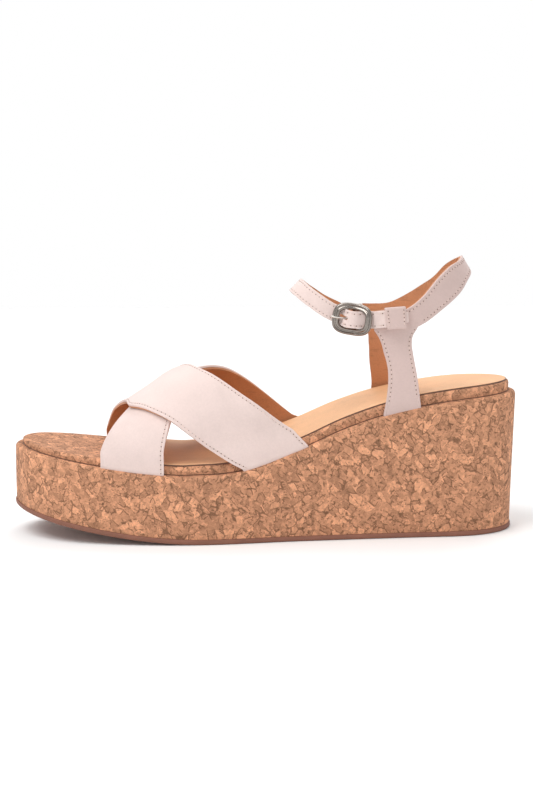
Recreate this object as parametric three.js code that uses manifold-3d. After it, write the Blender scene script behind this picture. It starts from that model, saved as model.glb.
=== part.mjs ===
// Wedge sandal, left foot: cork platform, two crossed straps, a heel halter and a buckled ankle strap.
// Millimetres. +X runs from toe to heel, -Y is the outer side of the foot, +Z is up from the floor.
import * as THREE from 'three';
import { mergeVertices } from 'three/addons/utils/BufferGeometryUtils.js';
import Module from 'manifold-3d';

const wasm = await Module();
wasm.setup();

// ---------------------------------------------------------------- driving dimensions
const soleLength = 255;          // toe tip to heel back
const ballWidth = 86;            // platform across the ball of the foot
const heelWidth = 62.5;          // wedge across the heel
const platformHeight = 34;       // floor to the top of the platform under the ball
const heelHeight = 71;           // floor to the top of the wedge at the heel
const toeSpring = 14.2;          // lift of the outsole at the toe tip
const toeLift = 11.5;            // rise of the platform's top from the ball to the toe tip
const outsoleThickness = 2.6;
const outsoleWelt = 0.5;         // how far the outsole stands out past the cork
const corkThickness = 1.8;       // cork round the wedge
const corkTurnIn = 12;           // width of cork turned over the wedge's top and bottom
const heelLean = 2;              // how far the heel's back slopes in towards the floor
const footbedInset = 3.6;        // footbed edge inside the wedge's edge
const toeRim = 2.8;              // footbed thickness at the toe, the ball and the heel
const ballRim = 3.9;
const heelRim = 5;
const boardThickness = 1.2;
const footbedCork = 0.9;
const sockThickness = 0.8;
const sockInset = 1.4;           // sock lining inside the footbed's edge
const sockFront = 0.25;          // front edge of the sock lining, as a share of the length from the toe
const shankWidth = 12;
const shankThickness = 1.4;
const nailRadius = 0.9;
const nailLength = 14;
const rivetRadius = 1.5;

const crossStrapWidth = 30;
const instepHeight = 43;         // height of the crossed straps over the footbed
const outerLeather = 1.05;
const liningLeather = 0.7;
const tapeThickness = 0.25;
const layerGap = 0.1;            // between lining, tape and outer leather
const ankleStrapWidth = 8.4;
const ankleHeight = 28;          // footbed at the heel up to the lower edge of the ankle band
const ankleLoopLength = 84.7;    // front to back across the ankle loop
const ankleLoopWidth = 52;
const ankleLoopCentre = 0.7249;  // its centre, as a share of the length from the toe
const lastingMargin = 11;        // length of strap tucked under the footbed
const marginThickness = 0.8;     // leather pared down where it is tucked under

const clearance = 0.3;           // gap between pieces that touch
const barRadius = 0.75;          // buckle's centre bar
const buckleLength = 20;
const buckleHeight = ankleStrapWidth + 7.4;
const buckleRail = 2.75;         // width of the frame's metal
const prongRadius = 0.5;
const tabThickness = 0.7;
const tabWidth = ankleStrapWidth - 0.2;
const keeperLength = 9.2;
const keeperLeather = 0.9;

// ---------------------------------------------------------------- small tools
const { PI, abs, acos, cos, max, min, sin, sqrt } = Math;
const lerp = THREE.MathUtils.lerp;
const clamp01 = (t) => min(1, max(0, t));
const smooth = (t) => THREE.MathUtils.smoothstep(t, 0, 1);
const degrees = THREE.MathUtils.degToRad;
const range = (count) => Array.from({ length: count }, (_, i) => i);

// A smooth scalar profile through [position, value] pairs, held level past both ends.
function profile(pairs) {
  const slope = (i) => {
    const [a, b] = [pairs[max(0, i - 1)], pairs[min(pairs.length - 1, i + 1)]];
    return (b[1] - a[1]) / (b[0] - a[0]);
  };
  return (at) => {
    if (at <= pairs[0][0]) return pairs[0][1];
    const last = pairs[pairs.length - 1];
    if (at >= last[0]) return last[1];
    const i = pairs.findIndex((pair) => pair[0] > at) - 1;
    const span = pairs[i + 1][0] - pairs[i][0];
    const t = (at - pairs[i][0]) / span;
    const [p, q] = [pairs[i][1], pairs[i + 1][1]];
    const [m, n] = [slope(i) * span, slope(i + 1) * span];
    return (2 * t ** 3 - 3 * t ** 2 + 1) * p + (t ** 3 - 2 * t ** 2 + t) * m
      + (3 * t ** 2 - 2 * t ** 3) * q + (t ** 3 - t ** 2) * n;
  };
}

function geometryOf(positions, triangles) {
  const geometry = new THREE.BufferGeometry();
  geometry.setAttribute('position', new THREE.Float32BufferAttribute(positions, 3));
  geometry.setIndex(triangles);
  return geometry;
}

function solidOf(source) {
  const bare = source.clone();
  bare.deleteAttribute('normal');
  bare.deleteAttribute('uv');
  const merged = mergeVertices(bare, 1e-4);
  const vertProperties = new Float32Array(merged.attributes.position.array);
  const triVerts = new Uint32Array(merged.index.array);
  return new wasm.Manifold(new wasm.Mesh({ numProp: 3, vertProperties, triVerts }));
}

function geometryFrom(solid) {
  const { vertProperties, triVerts } = solid.getMesh();
  return geometryOf(Array.from(vertProperties), Array.from(triVerts));
}

function cylinderSolid(radius, length, centre) {
  const shape = new THREE.CylinderGeometry(radius, radius, length, 20);
  shape.rotateX(PI / 2);
  shape.translate(centre.x, centre.y, centre.z);
  return solidOf(shape);
}

// ---------------------------------------------------------------- platform outline and heights
const stationX = (share) => (share - 0.5) * soleLength;
const shareOf = (x) => x / soleLength + 0.5;

// Half outlines as [share of length, share of half width]; the wider half is the ball, the other the heel.
const outerHalf = [[0, 0.03], [0.026, -0.44], [0.09, -0.76], [0.215, -0.965], [0.375, -1.01],
  [0.56, -0.86], [0.76, -0.742], [0.915, -0.64], [0.98, -0.36], [1, 0]];
const innerHalf = [[0, 0.03], [0.026, 0.5], [0.09, 0.8], [0.215, 0.98], [0.375, 0.965],
  [0.56, 0.79], [0.76, 0.735], [0.915, 0.64], [0.98, 0.36], [1, 0]];
const heelShare = heelWidth / ballWidth / 0.7267;
const outlinePoint = ([share, half]) => {
  const narrowing = lerp(1, heelShare, smooth((share - 0.4) / 0.4));
  return new THREE.Vector3(stationX(share), half * narrowing * ballWidth / 2, 0);
};
const outlineCurve = new THREE.CatmullRomCurve3(
  [...outerHalf, ...innerHalf.slice(1, -1).reverse()].map(outlinePoint), true, 'centripetal');

const halfSteps = 24;
const outlineSamples = range(2 * halfSteps).map((i) => {
  const t = i / (2 * halfSteps);
  const point = outlineCurve.getPoint(t);
  const tangent = outlineCurve.getTangent(t);
  return { x: point.x, y: point.y, inX: -tangent.y, inY: tangent.x };
});

// The outline moved inwards, as one ring that starts at the toe tip and runs along the outer side.
const insetRing = (inset) => outlineSamples.map(({ x, y, inX, inY }) => [x + inX * inset, y + inY * inset]);

// Where the inset outline crosses station x, on the outer side (-1) or the inner side (+1).
function edgeY(side, x, inset) {
  const ring = insetRing(inset);
  const half = side < 0 ? ring.slice(0, halfSteps + 1) : [ring[0], ...ring.slice(halfSteps).reverse()];
  const i = max(1, half.findIndex((point) => point[0] >= x));
  const [a, b] = [half[i - 1], half[i]];
  return lerp(a[1], b[1], clamp01((x - a[0]) / (b[0] - a[0])));
}

const springStart = 0.375;
const outsoleBottom = (x) => toeSpring * clamp01(1 - shareOf(x) / springStart) ** 1.75;
const wedgeRise = profile([[0.335, 0], [0.44, 0.045], [0.555, 0.305], [0.645, 0.57], [0.735, 0.765],
  [0.855, 0.915], [1, 1]]);
const wedgeTop = (x) => platformHeight + (heelHeight - platformHeight) * wedgeRise(shareOf(x))
  + toeLift * clamp01(1 - shareOf(x) / 0.335) ** 1.4;
const rimHeight = profile([[0, toeRim], [0.3, ballRim], [0.75, heelRim], [1, heelRim]]);
const footbedBottom = (x) => wedgeTop(x) + clearance;
const footbedTop = (x) => footbedBottom(x) + rimHeight(shareOf(x));

// A closed body from rings stacked from the floor up; each level is { inset, z(x), foot } and foot
// is 1 at the floor and 0 at the top, for the slope of the heel's back.
function stack(levels) {
  const ringSize = outlineSamples.length;
  const positions = [];
  for (const { inset, z, foot = 0 } of levels) {
    for (const [x, y] of insetRing(inset)) {
      const leaned = x - foot * heelLean * clamp01((shareOf(x) - 0.75) / 0.25) ** 2;
      positions.push(leaned, y, z(x));
    }
  }
  const triangles = [];
  for (const level of range(levels.length - 1)) {
    for (const i of range(ringSize)) {
      const [a, b] = [level * ringSize + i, level * ringSize + (i + 1) % ringSize];
      triangles.push(a, b, b + ringSize, a, b + ringSize, a + ringSize);
    }
  }
  const top = (levels.length - 1) * ringSize;
  for (const i of range(halfSteps)) {
    const [near, nearNext] = [i, i + 1];
    const [far, farNext] = [(ringSize - i) % ringSize, ringSize - i - 1];
    if (i > 0) {
      triangles.push(near, far, nearNext, top + near, top + nearNext, top + far);
    }
    if (i < halfSteps - 1) {
      triangles.push(nearNext, far, farNext, top + nearNext, top + farNext, top + far);
    }
  }
  return geometryOf(positions, triangles);
}

const raised = (height, by) => (x) => height(x) + by;

// ---------------------------------------------------------------- sheets of leather
// Thickens a patch of quads along its normals, from one distance to another. Points are Vector3,
// and each distance is a number or a function of the point's index.
function thickSheet(points, quads, from, to) {
  const normals = points.map(() => new THREE.Vector3());
  for (const quad of quads) {
    const [a, b, c, d] = quad.map((i) => points[i]);
    const normal = c.clone().sub(a).cross(d.clone().sub(b)).normalize();
    quad.forEach((i) => normals[i].add(normal));
  }
  const distance = (value, i) => (typeof value === 'function' ? value(i) : value);
  const layer = (value) => points.flatMap((point, i) =>
    point.clone().addScaledVector(normals[i].normalize(), distance(value, i)).toArray());
  const count = points.length;
  const triangles = [];
  const edges = new Map();
  for (const [a, b, c, d] of quads) {
    triangles.push(count + a, count + b, count + c, count + a, count + c, count + d);
    triangles.push(a, c, b, a, d, c);
    for (const [p, q] of [[a, b], [b, c], [c, d], [d, a]]) {
      if (!edges.delete(`${q}_${p}`)) edges.set(`${p}_${q}`, [p, q]);
    }
  }
  for (const [p, q] of edges.values()) {
    triangles.push(p, q, count + q, p, count + q, count + p);
  }
  return solidOf(geometryOf([...layer(from), ...layer(to)], triangles));
}

// Quads of a grid with the given number of rows and columns of points.
const gridQuads = (rows, columns) => range((rows - 1) * (columns - 1)).map((i) => {
  const a = Math.floor(i / (columns - 1)) * columns + i % (columns - 1);
  return [a, a + 1, a + columns + 1, a + columns];
});

// A strip of leather: rows along its length, each a list of points across it.
function strip(rows, from, to) {
  const columns = rows[0].length;
  const byRow = (value) => (typeof value === 'function' ? (i) => value(Math.floor(i / columns)) : value);
  return thickSheet(rows.flat(), gridQuads(rows.length, columns), byRow(from), byRow(to));
}

// ---------------------------------------------------------------- platform pieces
const wedgeBottom = (x) => outsoleBottom(x) + outsoleThickness + clearance;

const outsole = solidOf(stack([
  { inset: 0.8 - outsoleWelt, z: outsoleBottom, foot: 1 },
  { inset: -outsoleWelt, z: raised(outsoleBottom, 0.8), foot: 1 },
  { inset: -outsoleWelt, z: raised(outsoleBottom, outsoleThickness), foot: 1 },
]));

const corkBlock = solidOf(stack([
  { inset: 0, z: wedgeBottom, foot: 1 },
  { inset: 0, z: raised(wedgeTop, -2.4), foot: 0 },
  { inset: 0.35, z: raised(wedgeTop, -1.2), foot: 0 },
  { inset: 1.1, z: raised(wedgeTop, -0.35), foot: 0 },
  { inset: 2.4, z: wedgeTop, foot: 0 },
]));
const insideCork = (gap) => solidOf(stack([
  { inset: corkThickness + gap, z: raised(wedgeBottom, corkThickness + gap), foot: 1 },
  { inset: corkThickness + gap, z: raised(wedgeTop, -corkThickness - gap), foot: 0 },
]));
const middleOfWedge = (gap, overrun) => solidOf(stack([
  { inset: corkTurnIn + gap, z: raised(wedgeBottom, overrun), foot: 1 },
  { inset: corkTurnIn + gap, z: raised(wedgeTop, -overrun), foot: 0 },
]));
let wedgeCorkWrap = corkBlock.subtract(insideCork(0)).subtract(middleOfWedge(0, -5));
let wedgeCore = insideCork(clearance).add(middleOfWedge(clearance, clearance));

// ---------------------------------------------------------------- footbed pieces
const boardInset = footbedInset + footbedCork + clearance;
const boardTop = raised(footbedBottom, boardThickness);
let insoleBoard = solidOf(stack([
  { inset: boardInset, z: footbedBottom },
  { inset: boardInset, z: boardTop },
]));
const footbedCorkWrap = solidOf(stack([
  { inset: footbedInset, z: footbedBottom },
  { inset: footbedInset, z: raised(footbedTop, -1.5) },
  { inset: footbedInset + 0.2, z: raised(footbedTop, -0.75) },
  { inset: footbedInset + 0.7, z: raised(footbedTop, -0.2) },
  { inset: footbedInset + sockInset, z: footbedTop },
])).subtract(solidOf(stack([
  { inset: boardInset - clearance, z: raised(footbedBottom, -3) },
  { inset: boardInset - clearance, z: raised(footbedTop, -footbedCork) },
])));
let footbedFoam = solidOf(stack([
  { inset: boardInset, z: raised(boardTop, 0.15) },
  { inset: boardInset, z: raised(footbedTop, -footbedCork - 0.15) },
]));
const sockSheet = solidOf(stack([
  { inset: footbedInset + sockInset, z: raised(footbedTop, 0.15) },
  { inset: footbedInset + sockInset, z: raised(footbedTop, 0.15 + sockThickness) },
]));
const sockRadius = 90;
const sockOutline = new THREE.Shape();
sockOutline.moveTo(soleLength, -ballWidth);
sockOutline.lineTo(soleLength, ballWidth);
sockOutline.absarc(stationX(sockFront) + sockRadius, 0, sockRadius, degrees(125), degrees(235), false);
const sockCutter = new THREE.ExtrudeGeometry(sockOutline, {
  depth: 2 * heelHeight, bevelEnabled: false, curveSegments: 16,
});
const sockLining = sockSheet.intersect(solidOf(sockCutter));

// Steel shank, let into the core under the board, and the rivets at its two ends.
const shankEnds = [stationX(0.42), stationX(0.83)];
const shankRecess = 0.15;
const shankRows = (grow) => range(17).map((i) => {
  const x = lerp(shankEnds[0] - grow, shankEnds[1] + grow, i / 16);
  const z = wedgeTop(x) - shankRecess;
  return [1, -1].map((side) => new THREE.Vector3(x, side * (shankWidth / 2 + grow), z));
});
let shank = strip(shankRows(0), -shankThickness, 0);
const shankGroove = strip(shankRows(clearance), -shankThickness - clearance, 2);

const rivetHead = { radius: 3, height: 0.5 };
const rivetAt = (x) => ({
  x,
  top: boardTop(x + rivetHead.radius) + 0.2,
  foot: wedgeTop(x - rivetHead.radius) - shankRecess - shankThickness - 0.2,
});
const rivets = shankEnds.map((x, i) => rivetAt(x + (i === 0 ? 7 : -7)));
function rivetSolid({ x, top, foot }, gap) {
  const profilePoints = [
    [0, foot - rivetHead.height - gap], [rivetHead.radius + gap, foot - rivetHead.height - gap],
    [rivetHead.radius + gap, foot + gap], [rivetRadius + gap, foot + gap],
    [rivetRadius + gap, top - gap], [rivetHead.radius + gap, top - gap],
    [rivetHead.radius + gap, top + rivetHead.height + gap], [0, top + rivetHead.height + gap],
  ].map(([r, z]) => new THREE.Vector2(r, z));
  const lathe = new THREE.LatheGeometry(profilePoints, 20);
  lathe.rotateX(PI / 2);
  lathe.translate(x, 0, 0);
  return solidOf(lathe);
}

const nailHead = 2.2;
const nailSpots = [[0.86, -11], [0.86, 11], [0.935, 0]];
function nailSolid([share, y], gap) {
  const x = stationX(share);
  const top = boardTop(x + nailHead) + 0.2;
  const head = nailHead + gap;
  const outline = [
    [0, top - nailLength - gap], [nailRadius * 0.4 + gap, top - nailLength - gap],
    [nailRadius + gap, top - nailLength + 3], [nailRadius + gap, top - gap],
    [head, top - gap], [head, top + 0.5 + gap], [0, top + 0.5 + gap],
  ].map(([r, z]) => new THREE.Vector2(r, z));
  const lathe = new THREE.LatheGeometry(outline, 16);
  lathe.rotateX(PI / 2);
  lathe.translate(x, y, 0);
  return solidOf(lathe);
}

wedgeCore = wedgeCore.subtract(shankGroove);
for (const rivet of rivets) {
  const room = rivetSolid(rivet, clearance);
  const rivetHole = cylinderSolid(rivetRadius + clearance, 20, new THREE.Vector3(rivet.x, 0, rivet.foot));
  shank = shank.subtract(rivetHole);
  insoleBoard = insoleBoard.subtract(room);
  footbedFoam = footbedFoam.subtract(room);
  wedgeCore = wedgeCore.subtract(room);
}
for (const spot of nailSpots) {
  const room = nailSolid(spot, clearance);
  insoleBoard = insoleBoard.subtract(room);
  footbedFoam = footbedFoam.subtract(room);
  wedgeCore = wedgeCore.subtract(room);
}

// ---------------------------------------------------------------- crossed straps
// Each crossed strap starts at the rear on one side and lands at the front on the other. A row holds
// the angle over the foot, the strap's centre as a share of the length, and its cut across along X.
const rearEnd = [[0, 0.511, 1.063], [4, 0.484, 1.24]];
const frontEnd = [[124, 0.2665, 1.037], [149, 0.2478, 1.04], [168, 0.2359, 1.023], [180, 0.2355, 1.02]];
const topCourse = [...rearEnd, [15, 0.4402, 1.357], [30, 0.3935, 1.397], [44, 0.3557, 1.34],
  [58, 0.3255, 1.233], [72, 0.302, 1.133], [88, 0.2915, 1.043], [98, 0.2857, 1.01], ...frontEnd];
const underCourse = [...rearEnd, [22.6, 0.4257, 1.383], [41, 0.3839, 1.36], [61.6, 0.3465, 1.25],
  [75, 0.3218, 1.15], [88, 0.3, 1.1], [98, 0.29, 1.05], ...frontEnd];
const courseOf = (table) => ({
  centre: profile(table.map(([angle, share]) => [angle, share])),
  cut: profile(table.map(([angle, , cut]) => [angle, cut])),
});
const courses = { top: courseOf(topCourse), under: courseOf(underCourse) };
const formRise = profile([[0.147, 0.33], [0.186, 0.4], [0.225, 0.47], [0.272, 0.68], [0.323, 0.9],
  [0.375, 0.975], [0.44, 1], [0.6, 1.01]]);
const leatherThickness = liningLeather + 2 * layerGap + tapeThickness + outerLeather;
const outerFrom = leatherThickness - outerLeather;
const strapEdgeInset = footbedInset - clearance;

// The top strap starts on the outer side (-1) and the under strap on the inner side (+1).
function strapX(side, angle, across) {
  const { centre, cut } = side < 0 ? courses.top : courses.under;
  return stationX(centre(angle)) + (across - 0.5) * crossStrapWidth * cut(angle);
}

// A point over the forefoot: angle 0 is the rim on `side`, 180 the rim opposite. `across` is 0 at the
// strap's front edge and 1 at its rear edge.
function crossPoint(side, angle, across, drop = 0, tuck = 0) {
  const x = strapX(side, angle, across);
  const [start, end] = [edgeY(side, x, strapEdgeInset), edgeY(-side, x, strapEdgeInset)];
  const c = cos(degrees(angle));
  const y = (start + end) / 2 + (start - end) / 2 * c;
  const rise = instepHeight * formRise(shareOf(x)) * sqrt(max(0, 1 - abs(c) ** 2.5));
  return new THREE.Vector3(x, y - Math.sign(y) * tuck, footbedTop(x) + rise - drop);
}

const overlapLift = leatherThickness + 0.75;
const crossLift = (angle) => overlapLift * smooth((angle - 8) / 26) * smooth((168 - angle) / 30);

const angleSteps = 20;
const angleStep = 180 / angleSteps;

// Rows of a crossed strap from one end to the other. Each end goes down the footbed's rim, and with
// `tucked` it turns under the footbed for the length of the lasting margin.
function crossRows(side, tucked, grow = 0) {
  const columns = 5;
  const widen = grow / crossStrapWidth;
  const row = (angle, fall, tuck) => range(columns).map((c) => {
    const across = lerp(-widen, 1 + widen, c / (columns - 1));
    const x = strapX(side, angle, across);
    const drop = fall * rimHeight(shareOf(x)) + (fall >= 1 ? tuckDepth : 0);
    return crossPoint(side, angle, across, drop, tuck);
  });
  const end = tucked
    ? [[1, lastingMargin + grow], [1, 5], [1, 1.2], [0.97, 0.2], [0.6, 0]]
    : [[0.8, 0], [0.4, 0]];
  return [
    ...end.map(([fall, tuck]) => row(0, fall, tuck)),
    ...range(angleSteps + 1).map((i) => row(i * angleStep, 0, 0)),
    ...[...end].reverse().map(([fall, tuck]) => row(180, fall, tuck)),
  ];
}
const tuckDepth = clearance + 0.25 - outerFrom;
const crossAngle = (row, endRows) => min(180, max(0, (row - endRows) * angleStep));

function crossedStrap(side, over) {
  const liftAt = (row, endRows) => (over ? crossLift(crossAngle(row, endRows)) : 0);
  const liningRows = crossRows(side, false);
  const outerRows = crossRows(side, true);
  const flip = (rows) => (side < 0 ? rows : rows.map((row) => [...row].reverse()));
  const thin = (row) => (row < 3 || row > outerRows.length - 4 ? outerLeather - marginThickness : 0);
  return {
    lining: strip(flip(liningRows), (row) => liftAt(row, 2), (row) => liftAt(row, 2) + liningLeather),
    outer: strip(flip(outerRows), (row) => liftAt(row, 5) + outerFrom,
      (row) => liftAt(row, 5) + leatherThickness - thin(row)),
  };
}
const topStrap = crossedStrap(-1, true);
const underStrap = crossedStrap(1, false);

// Room in the wedge's top for a tucked strap end: rows from under the footbed out to the rim.
const pocket = (rows) => strip(rows, (row) => outerFrom - clearance - (row < 2 ? clearance : 0),
  (row) => leatherThickness + clearance + (row < 3 ? corkThickness + clearance : 0));

function crossPockets(side) {
  const rows = crossRows(side, true, clearance);
  const flip = (part, turned) => (turned ? part.map((row) => [...row].reverse()) : part);
  return [pocket(flip(rows.slice(0, 5), side > 0)), pocket(flip(rows.slice(-5).reverse(), side < 0))];
}

// ---------------------------------------------------------------- ankle form
const seat = footbedTop(stationX(0.95));
const bandFloor = seat + ankleHeight;
const loopCentre = stationX(ankleLoopCentre);
const halfLoop = ankleLoopLength / 2;

// A point on the ankle loop: angle 0 is the heel's back and 180 the front of the ankle.
function anklePoint(side, angle, z) {
  const [c, s] = [cos(degrees(angle)), sin(degrees(angle))];
  const bandMiddle = (bandTop(angle) + bandLow(angle)) / 2;
  const lean = c > 0 ? -0.6 * (z - bandFloor - bandMiddle) * c ** 2 : (z - bandFloor - 19) * c ** 4;
  return new THREE.Vector3(loopCentre + halfLoop * c + lean, side * ankleLoopWidth / 2 * s, z);
}
const ankleAngle = (x) => THREE.MathUtils.radToDeg(acos((x - loopCentre) / halfLoop));

// Halter band: [angle, upper edge, lower edge], both as heights over the band's floor.
const bandCourse = [[0, 34.6, 26.9], [20, 32.6, 23.3], [35, 30.2, 17], [50, 24.6, 10.3],
  [63, 16.7, 3.9], [72, 12.1, 0.9], [80, 9.5, 0], [90, 9, -0.2], [101, 9.2, 0.2]];
const bandTop = profile(bandCourse.map(([angle, top]) => [angle, top]));
const bandLow = profile(bandCourse.map(([angle, , low]) => [angle, low]));
const bandFront = 97.5;

// Upright: front and rear edges as shares of the length, against height from crease (0) to band (1).
const uprightFront = profile([[0, 0.72], [0.2, 0.727], [0.45, 0.7305], [0.65, 0.726], [0.8, 0.7165],
  [0.92, 0.703], [1, 0.692]]);
const uprightRear = profile([[0, 0.794], [0.35, 0.787], [0.65, 0.778], [0.8, 0.7745], [0.9, 0.776],
  [1, 0.785]]);

// The tucked foot of a strap: [share of the rim's height gone down, distance in under the footbed].
const footSteps = [[0.97, 0.2], [1, 1.2], [1, 5], [1, lastingMargin]];

// A row across the foot of an upright, from its front edge to its rear edge.
const footRow = (side, fall, tuck, columns, grow = 0) => range(columns).map((i) => {
  const across = i / (columns - 1);
  const x = stationX(lerp(uprightFront(0), uprightRear(0), across)) + (across - 0.5) * 2 * grow;
  const depth = fall * rimHeight(shareOf(x)) + (fall >= 1 ? tuckDepth : 0);
  return new THREE.Vector3(x, edgeY(side, x, strapEdgeInset) - side * tuck, footbedTop(x) - depth);
});

// Stations of the band from upright to upright round the heel, and the shares of its height that
// its rows lie at; the woven tape fills the middle ones.
const rearAngle = ankleAngle(stationX(uprightRear(1)));
const heelSteps = 10;
const heelStations = range(2 * heelSteps + 1).map((i) => {
  const angle = rearAngle * (1 - i / heelSteps);
  return [angle > 0 ? -1 : 1, abs(angle)];
});
const bandShares = [0, 0.2, 0.8, 1];
const bandPoint = ([side, angle], share) =>
  anklePoint(side, angle, bandFloor + lerp(bandTop(angle), bandLow(angle), share));

// Points and quads of the halter: a band all round the heel and an upright on each side, sharing the
// band's lower edge. The band ends at `outerFrontAngle` on the outer side, `outerFrontShare` keeps that
// side's upright behind a station, and with `tucked` the uprights turn in under the footbed.
function halterPatch(outerFrontAngle, outerFrontShare, tucked) {
  const bandRows = bandShares.length;
  const uprightColumns = 6;
  const uprightRows = 9;
  const fan = (side) => {
    const front = side < 0 ? outerFrontAngle : bandFront;
    return range(uprightColumns - 1).map((i) => [side, lerp(front, rearAngle, i / (uprightColumns - 1))]);
  };
  const stations = [...fan(-1), ...heelStations, ...fan(1).reverse()];
  const columns = stations.length;
  const points = bandShares.flatMap((share) => stations.map((station) => bandPoint(station, share)));
  const quads = gridQuads(bandRows, columns);
  const pared = new Set();
  for (const side of [-1, 1]) {
    const first = (bandRows - 1) * columns + (side < 0 ? 0 : columns - uprightColumns);
    const above = range(uprightColumns).map((i) => first + i);
    const rows = [above];
    const addRow = (rowPoints) => {
      const row = rowPoints.map((point) => points.push(point) - 1);
      const previous = rows[rows.length - 1];
      for (const i of range(uprightColumns - 1)) {
        quads.push([previous[i], previous[i + 1], row[i + 1], row[i]]);
      }
      rows.push(row);
      return row;
    };
    for (const r of range(uprightRows)) {
      const t = 1 - (r + 1) / uprightRows;
      addRow(above.map((index, i) => {
        const across = side < 0 ? i / (uprightColumns - 1) : 1 - i / (uprightColumns - 1);
        const frontShare = side < 0 ? max(uprightFront(t), outerFrontShare) : uprightFront(t);
        const x = stationX(lerp(frontShare, uprightRear(t), across));
        const top = points[index];
        const low = footbedTop(x) - 0.8 * rimHeight(shareOf(x));
        const z = low + (top.z - low) * t;
        const rise = clamp01((z - footbedTop(x)) / (top.z - footbedTop(x)));
        return new THREE.Vector3(x, lerp(edgeY(side, x, strapEdgeInset), top.y, rise ** 0.85), z);
      }));
    }
    for (const [fall, tuck] of tucked ? footSteps : []) {
      const row = footRow(side, fall, tuck, uprightColumns);
      const added = addRow(side < 0 ? row : row.reverse());
      if (tuck > 1) added.forEach((index) => pared.add(index));
    }
  }
  return { points, quads: quads.map((quad) => quad.reverse()), pared };
}

const outerHalter = halterPatch(bandFront, 0, true);
const liningHalter = halterPatch(86, 0.7305, false);
const halterOuter = thickSheet(outerHalter.points, outerHalter.quads, outerFrom,
  (i) => leatherThickness - (outerHalter.pared.has(i) ? outerLeather - marginThickness : 0));
const halterLining = thickSheet(liningHalter.points, liningHalter.quads, 0, liningLeather);

// Woven tape inside the band, from one upright round the heel to the other.
const tapeFrom = liningLeather + layerGap;
const tapePoints = bandShares.slice(1, 3).flatMap((share) =>
  heelStations.map((station) => bandPoint(station, share)));
const tapeQuads = gridQuads(2, heelStations.length).map((quad) => quad.reverse());
const halterTape = thickSheet(tapePoints, tapeQuads, tapeFrom, tapeFrom + tapeThickness);

// ---------------------------------------------------------------- ankle strap
// The strap's centre line, as heights over the band's floor, from the inner side round the front.
const strapHeight = profile([[76, 7], [88, 6.4], [98, 5.6], [111.5, 5.8], [120, 7.6], [126, 9.3],
  [142, 15], [160, 18.8], [180, 19.9]]);
const wrapEnd = 84;              // where the strap's sewn end lies on the inner side
const tailEnd = 76;              // where its tail ends inside the keeper
const buckleAngle = 111.5;       // the centre bar's place on the outer side

const courseAngles = range(721).map((i) => wrapEnd + (360 - tailEnd - wrapEnd) * (i / 720));
const courseLine = courseAngles.map((turn) => {
  const side = turn <= 180 ? 1 : -1;
  const angle = turn <= 180 ? turn : 360 - turn;
  return anklePoint(side, angle, bandFloor + strapHeight(angle));
});
const courseLength = courseLine.reduce((lengths, point, i) => {
  lengths.push(i === 0 ? 0 : lengths[i - 1] + point.distanceTo(courseLine[i - 1]));
  return lengths;
}, []);
const barIndex = courseAngles.findIndex((turn) => turn >= 360 - buckleAngle);
const totalLength = courseLength[720];
const barLength = courseLength[barIndex];

// Position and axes at a distance along the strap, measured from the buckle's bar towards the tail.
function strapFrame(s) {
  const at = min(totalLength - 0.01, max(0.01, barLength + s));
  const i = max(1, courseLength.findIndex((length) => length >= at));
  const t = (at - courseLength[i - 1]) / (courseLength[i] - courseLength[i - 1]);
  const centre = courseLine[i - 1].clone().lerp(courseLine[i], t);
  const turn = lerp(courseAngles[i - 1], courseAngles[i], t);
  const side = turn <= 180 ? 1 : -1;
  const angle = turn <= 180 ? turn : 360 - turn;
  const along = courseLine[min(720, i + 6)].clone().sub(courseLine[max(0, i - 7)]).normalize();
  const up = anklePoint(side, angle, centre.z + 1).sub(anklePoint(side, angle, centre.z - 1));
  const across = up.addScaledVector(along, -up.dot(along)).normalize();
  return { centre, along, across, out: along.clone().cross(across) };
}

// How far the strap's inner face stands off the ankle, against distance from the bar.
const overHalter = leatherThickness + 0.4;
const tailLift = 2 * (tabThickness + 0.1) + 0.2;
const keeperLift = overHalter + 0.5 + 0.2;
const startOfWrap = -barLength;
const strapLift = profile([[startOfWrap, overHalter], [startOfWrap + 13, overHalter], [startOfWrap + 21, 0],
  [-7.6, 0], [-6.3, 0.15], [-5, 1], [-3.8, 2.35], [-2.6, 3.4], [-1.2, 4], [0.6, 4], [2, 3.5],
  [3.3, 2.7], [4.6, 2.1], [6, tailLift], [9, tailLift + 0.1], [10.4, overHalter],
  [13, overHalter + 0.05], [15, keeperLift], [30, keeperLift]]);
const strapStations = [
  ...range(26).map((i) => lerp(startOfWrap + 0.05, -10, i / 26)),
  ...range(25).map((i) => -10 + i * 0.8), ...range(7).map((i) => 10.2 + i),
  ...range(3).map((i) => lerp(17, totalLength - barLength - 0.05, (i + 1) / 3)),
];
const strapRows = (stations, width) => stations.map((s) => {
  const { centre, across } = strapFrame(s);
  return [0.5, -0.5].map((share) => centre.clone().addScaledVector(across, share * width));
});
const ankleStrip = (stations, width, from, to) => strip(strapRows(stations, width),
  (row) => strapLift(stations[row]) + from, (row) => strapLift(stations[row]) + to);

let ankleStrapOuter = ankleStrip(strapStations, ankleStrapWidth, outerFrom, leatherThickness);
let ankleStrapLining = ankleStrip(strapStations, ankleStrapWidth, 0, liningLeather);
const ankleStrapTape = ankleStrip(strapStations.filter((s) => s < -11).slice(2),
  ankleStrapWidth * 0.75, tapeFrom, tapeFrom + tapeThickness);

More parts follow.
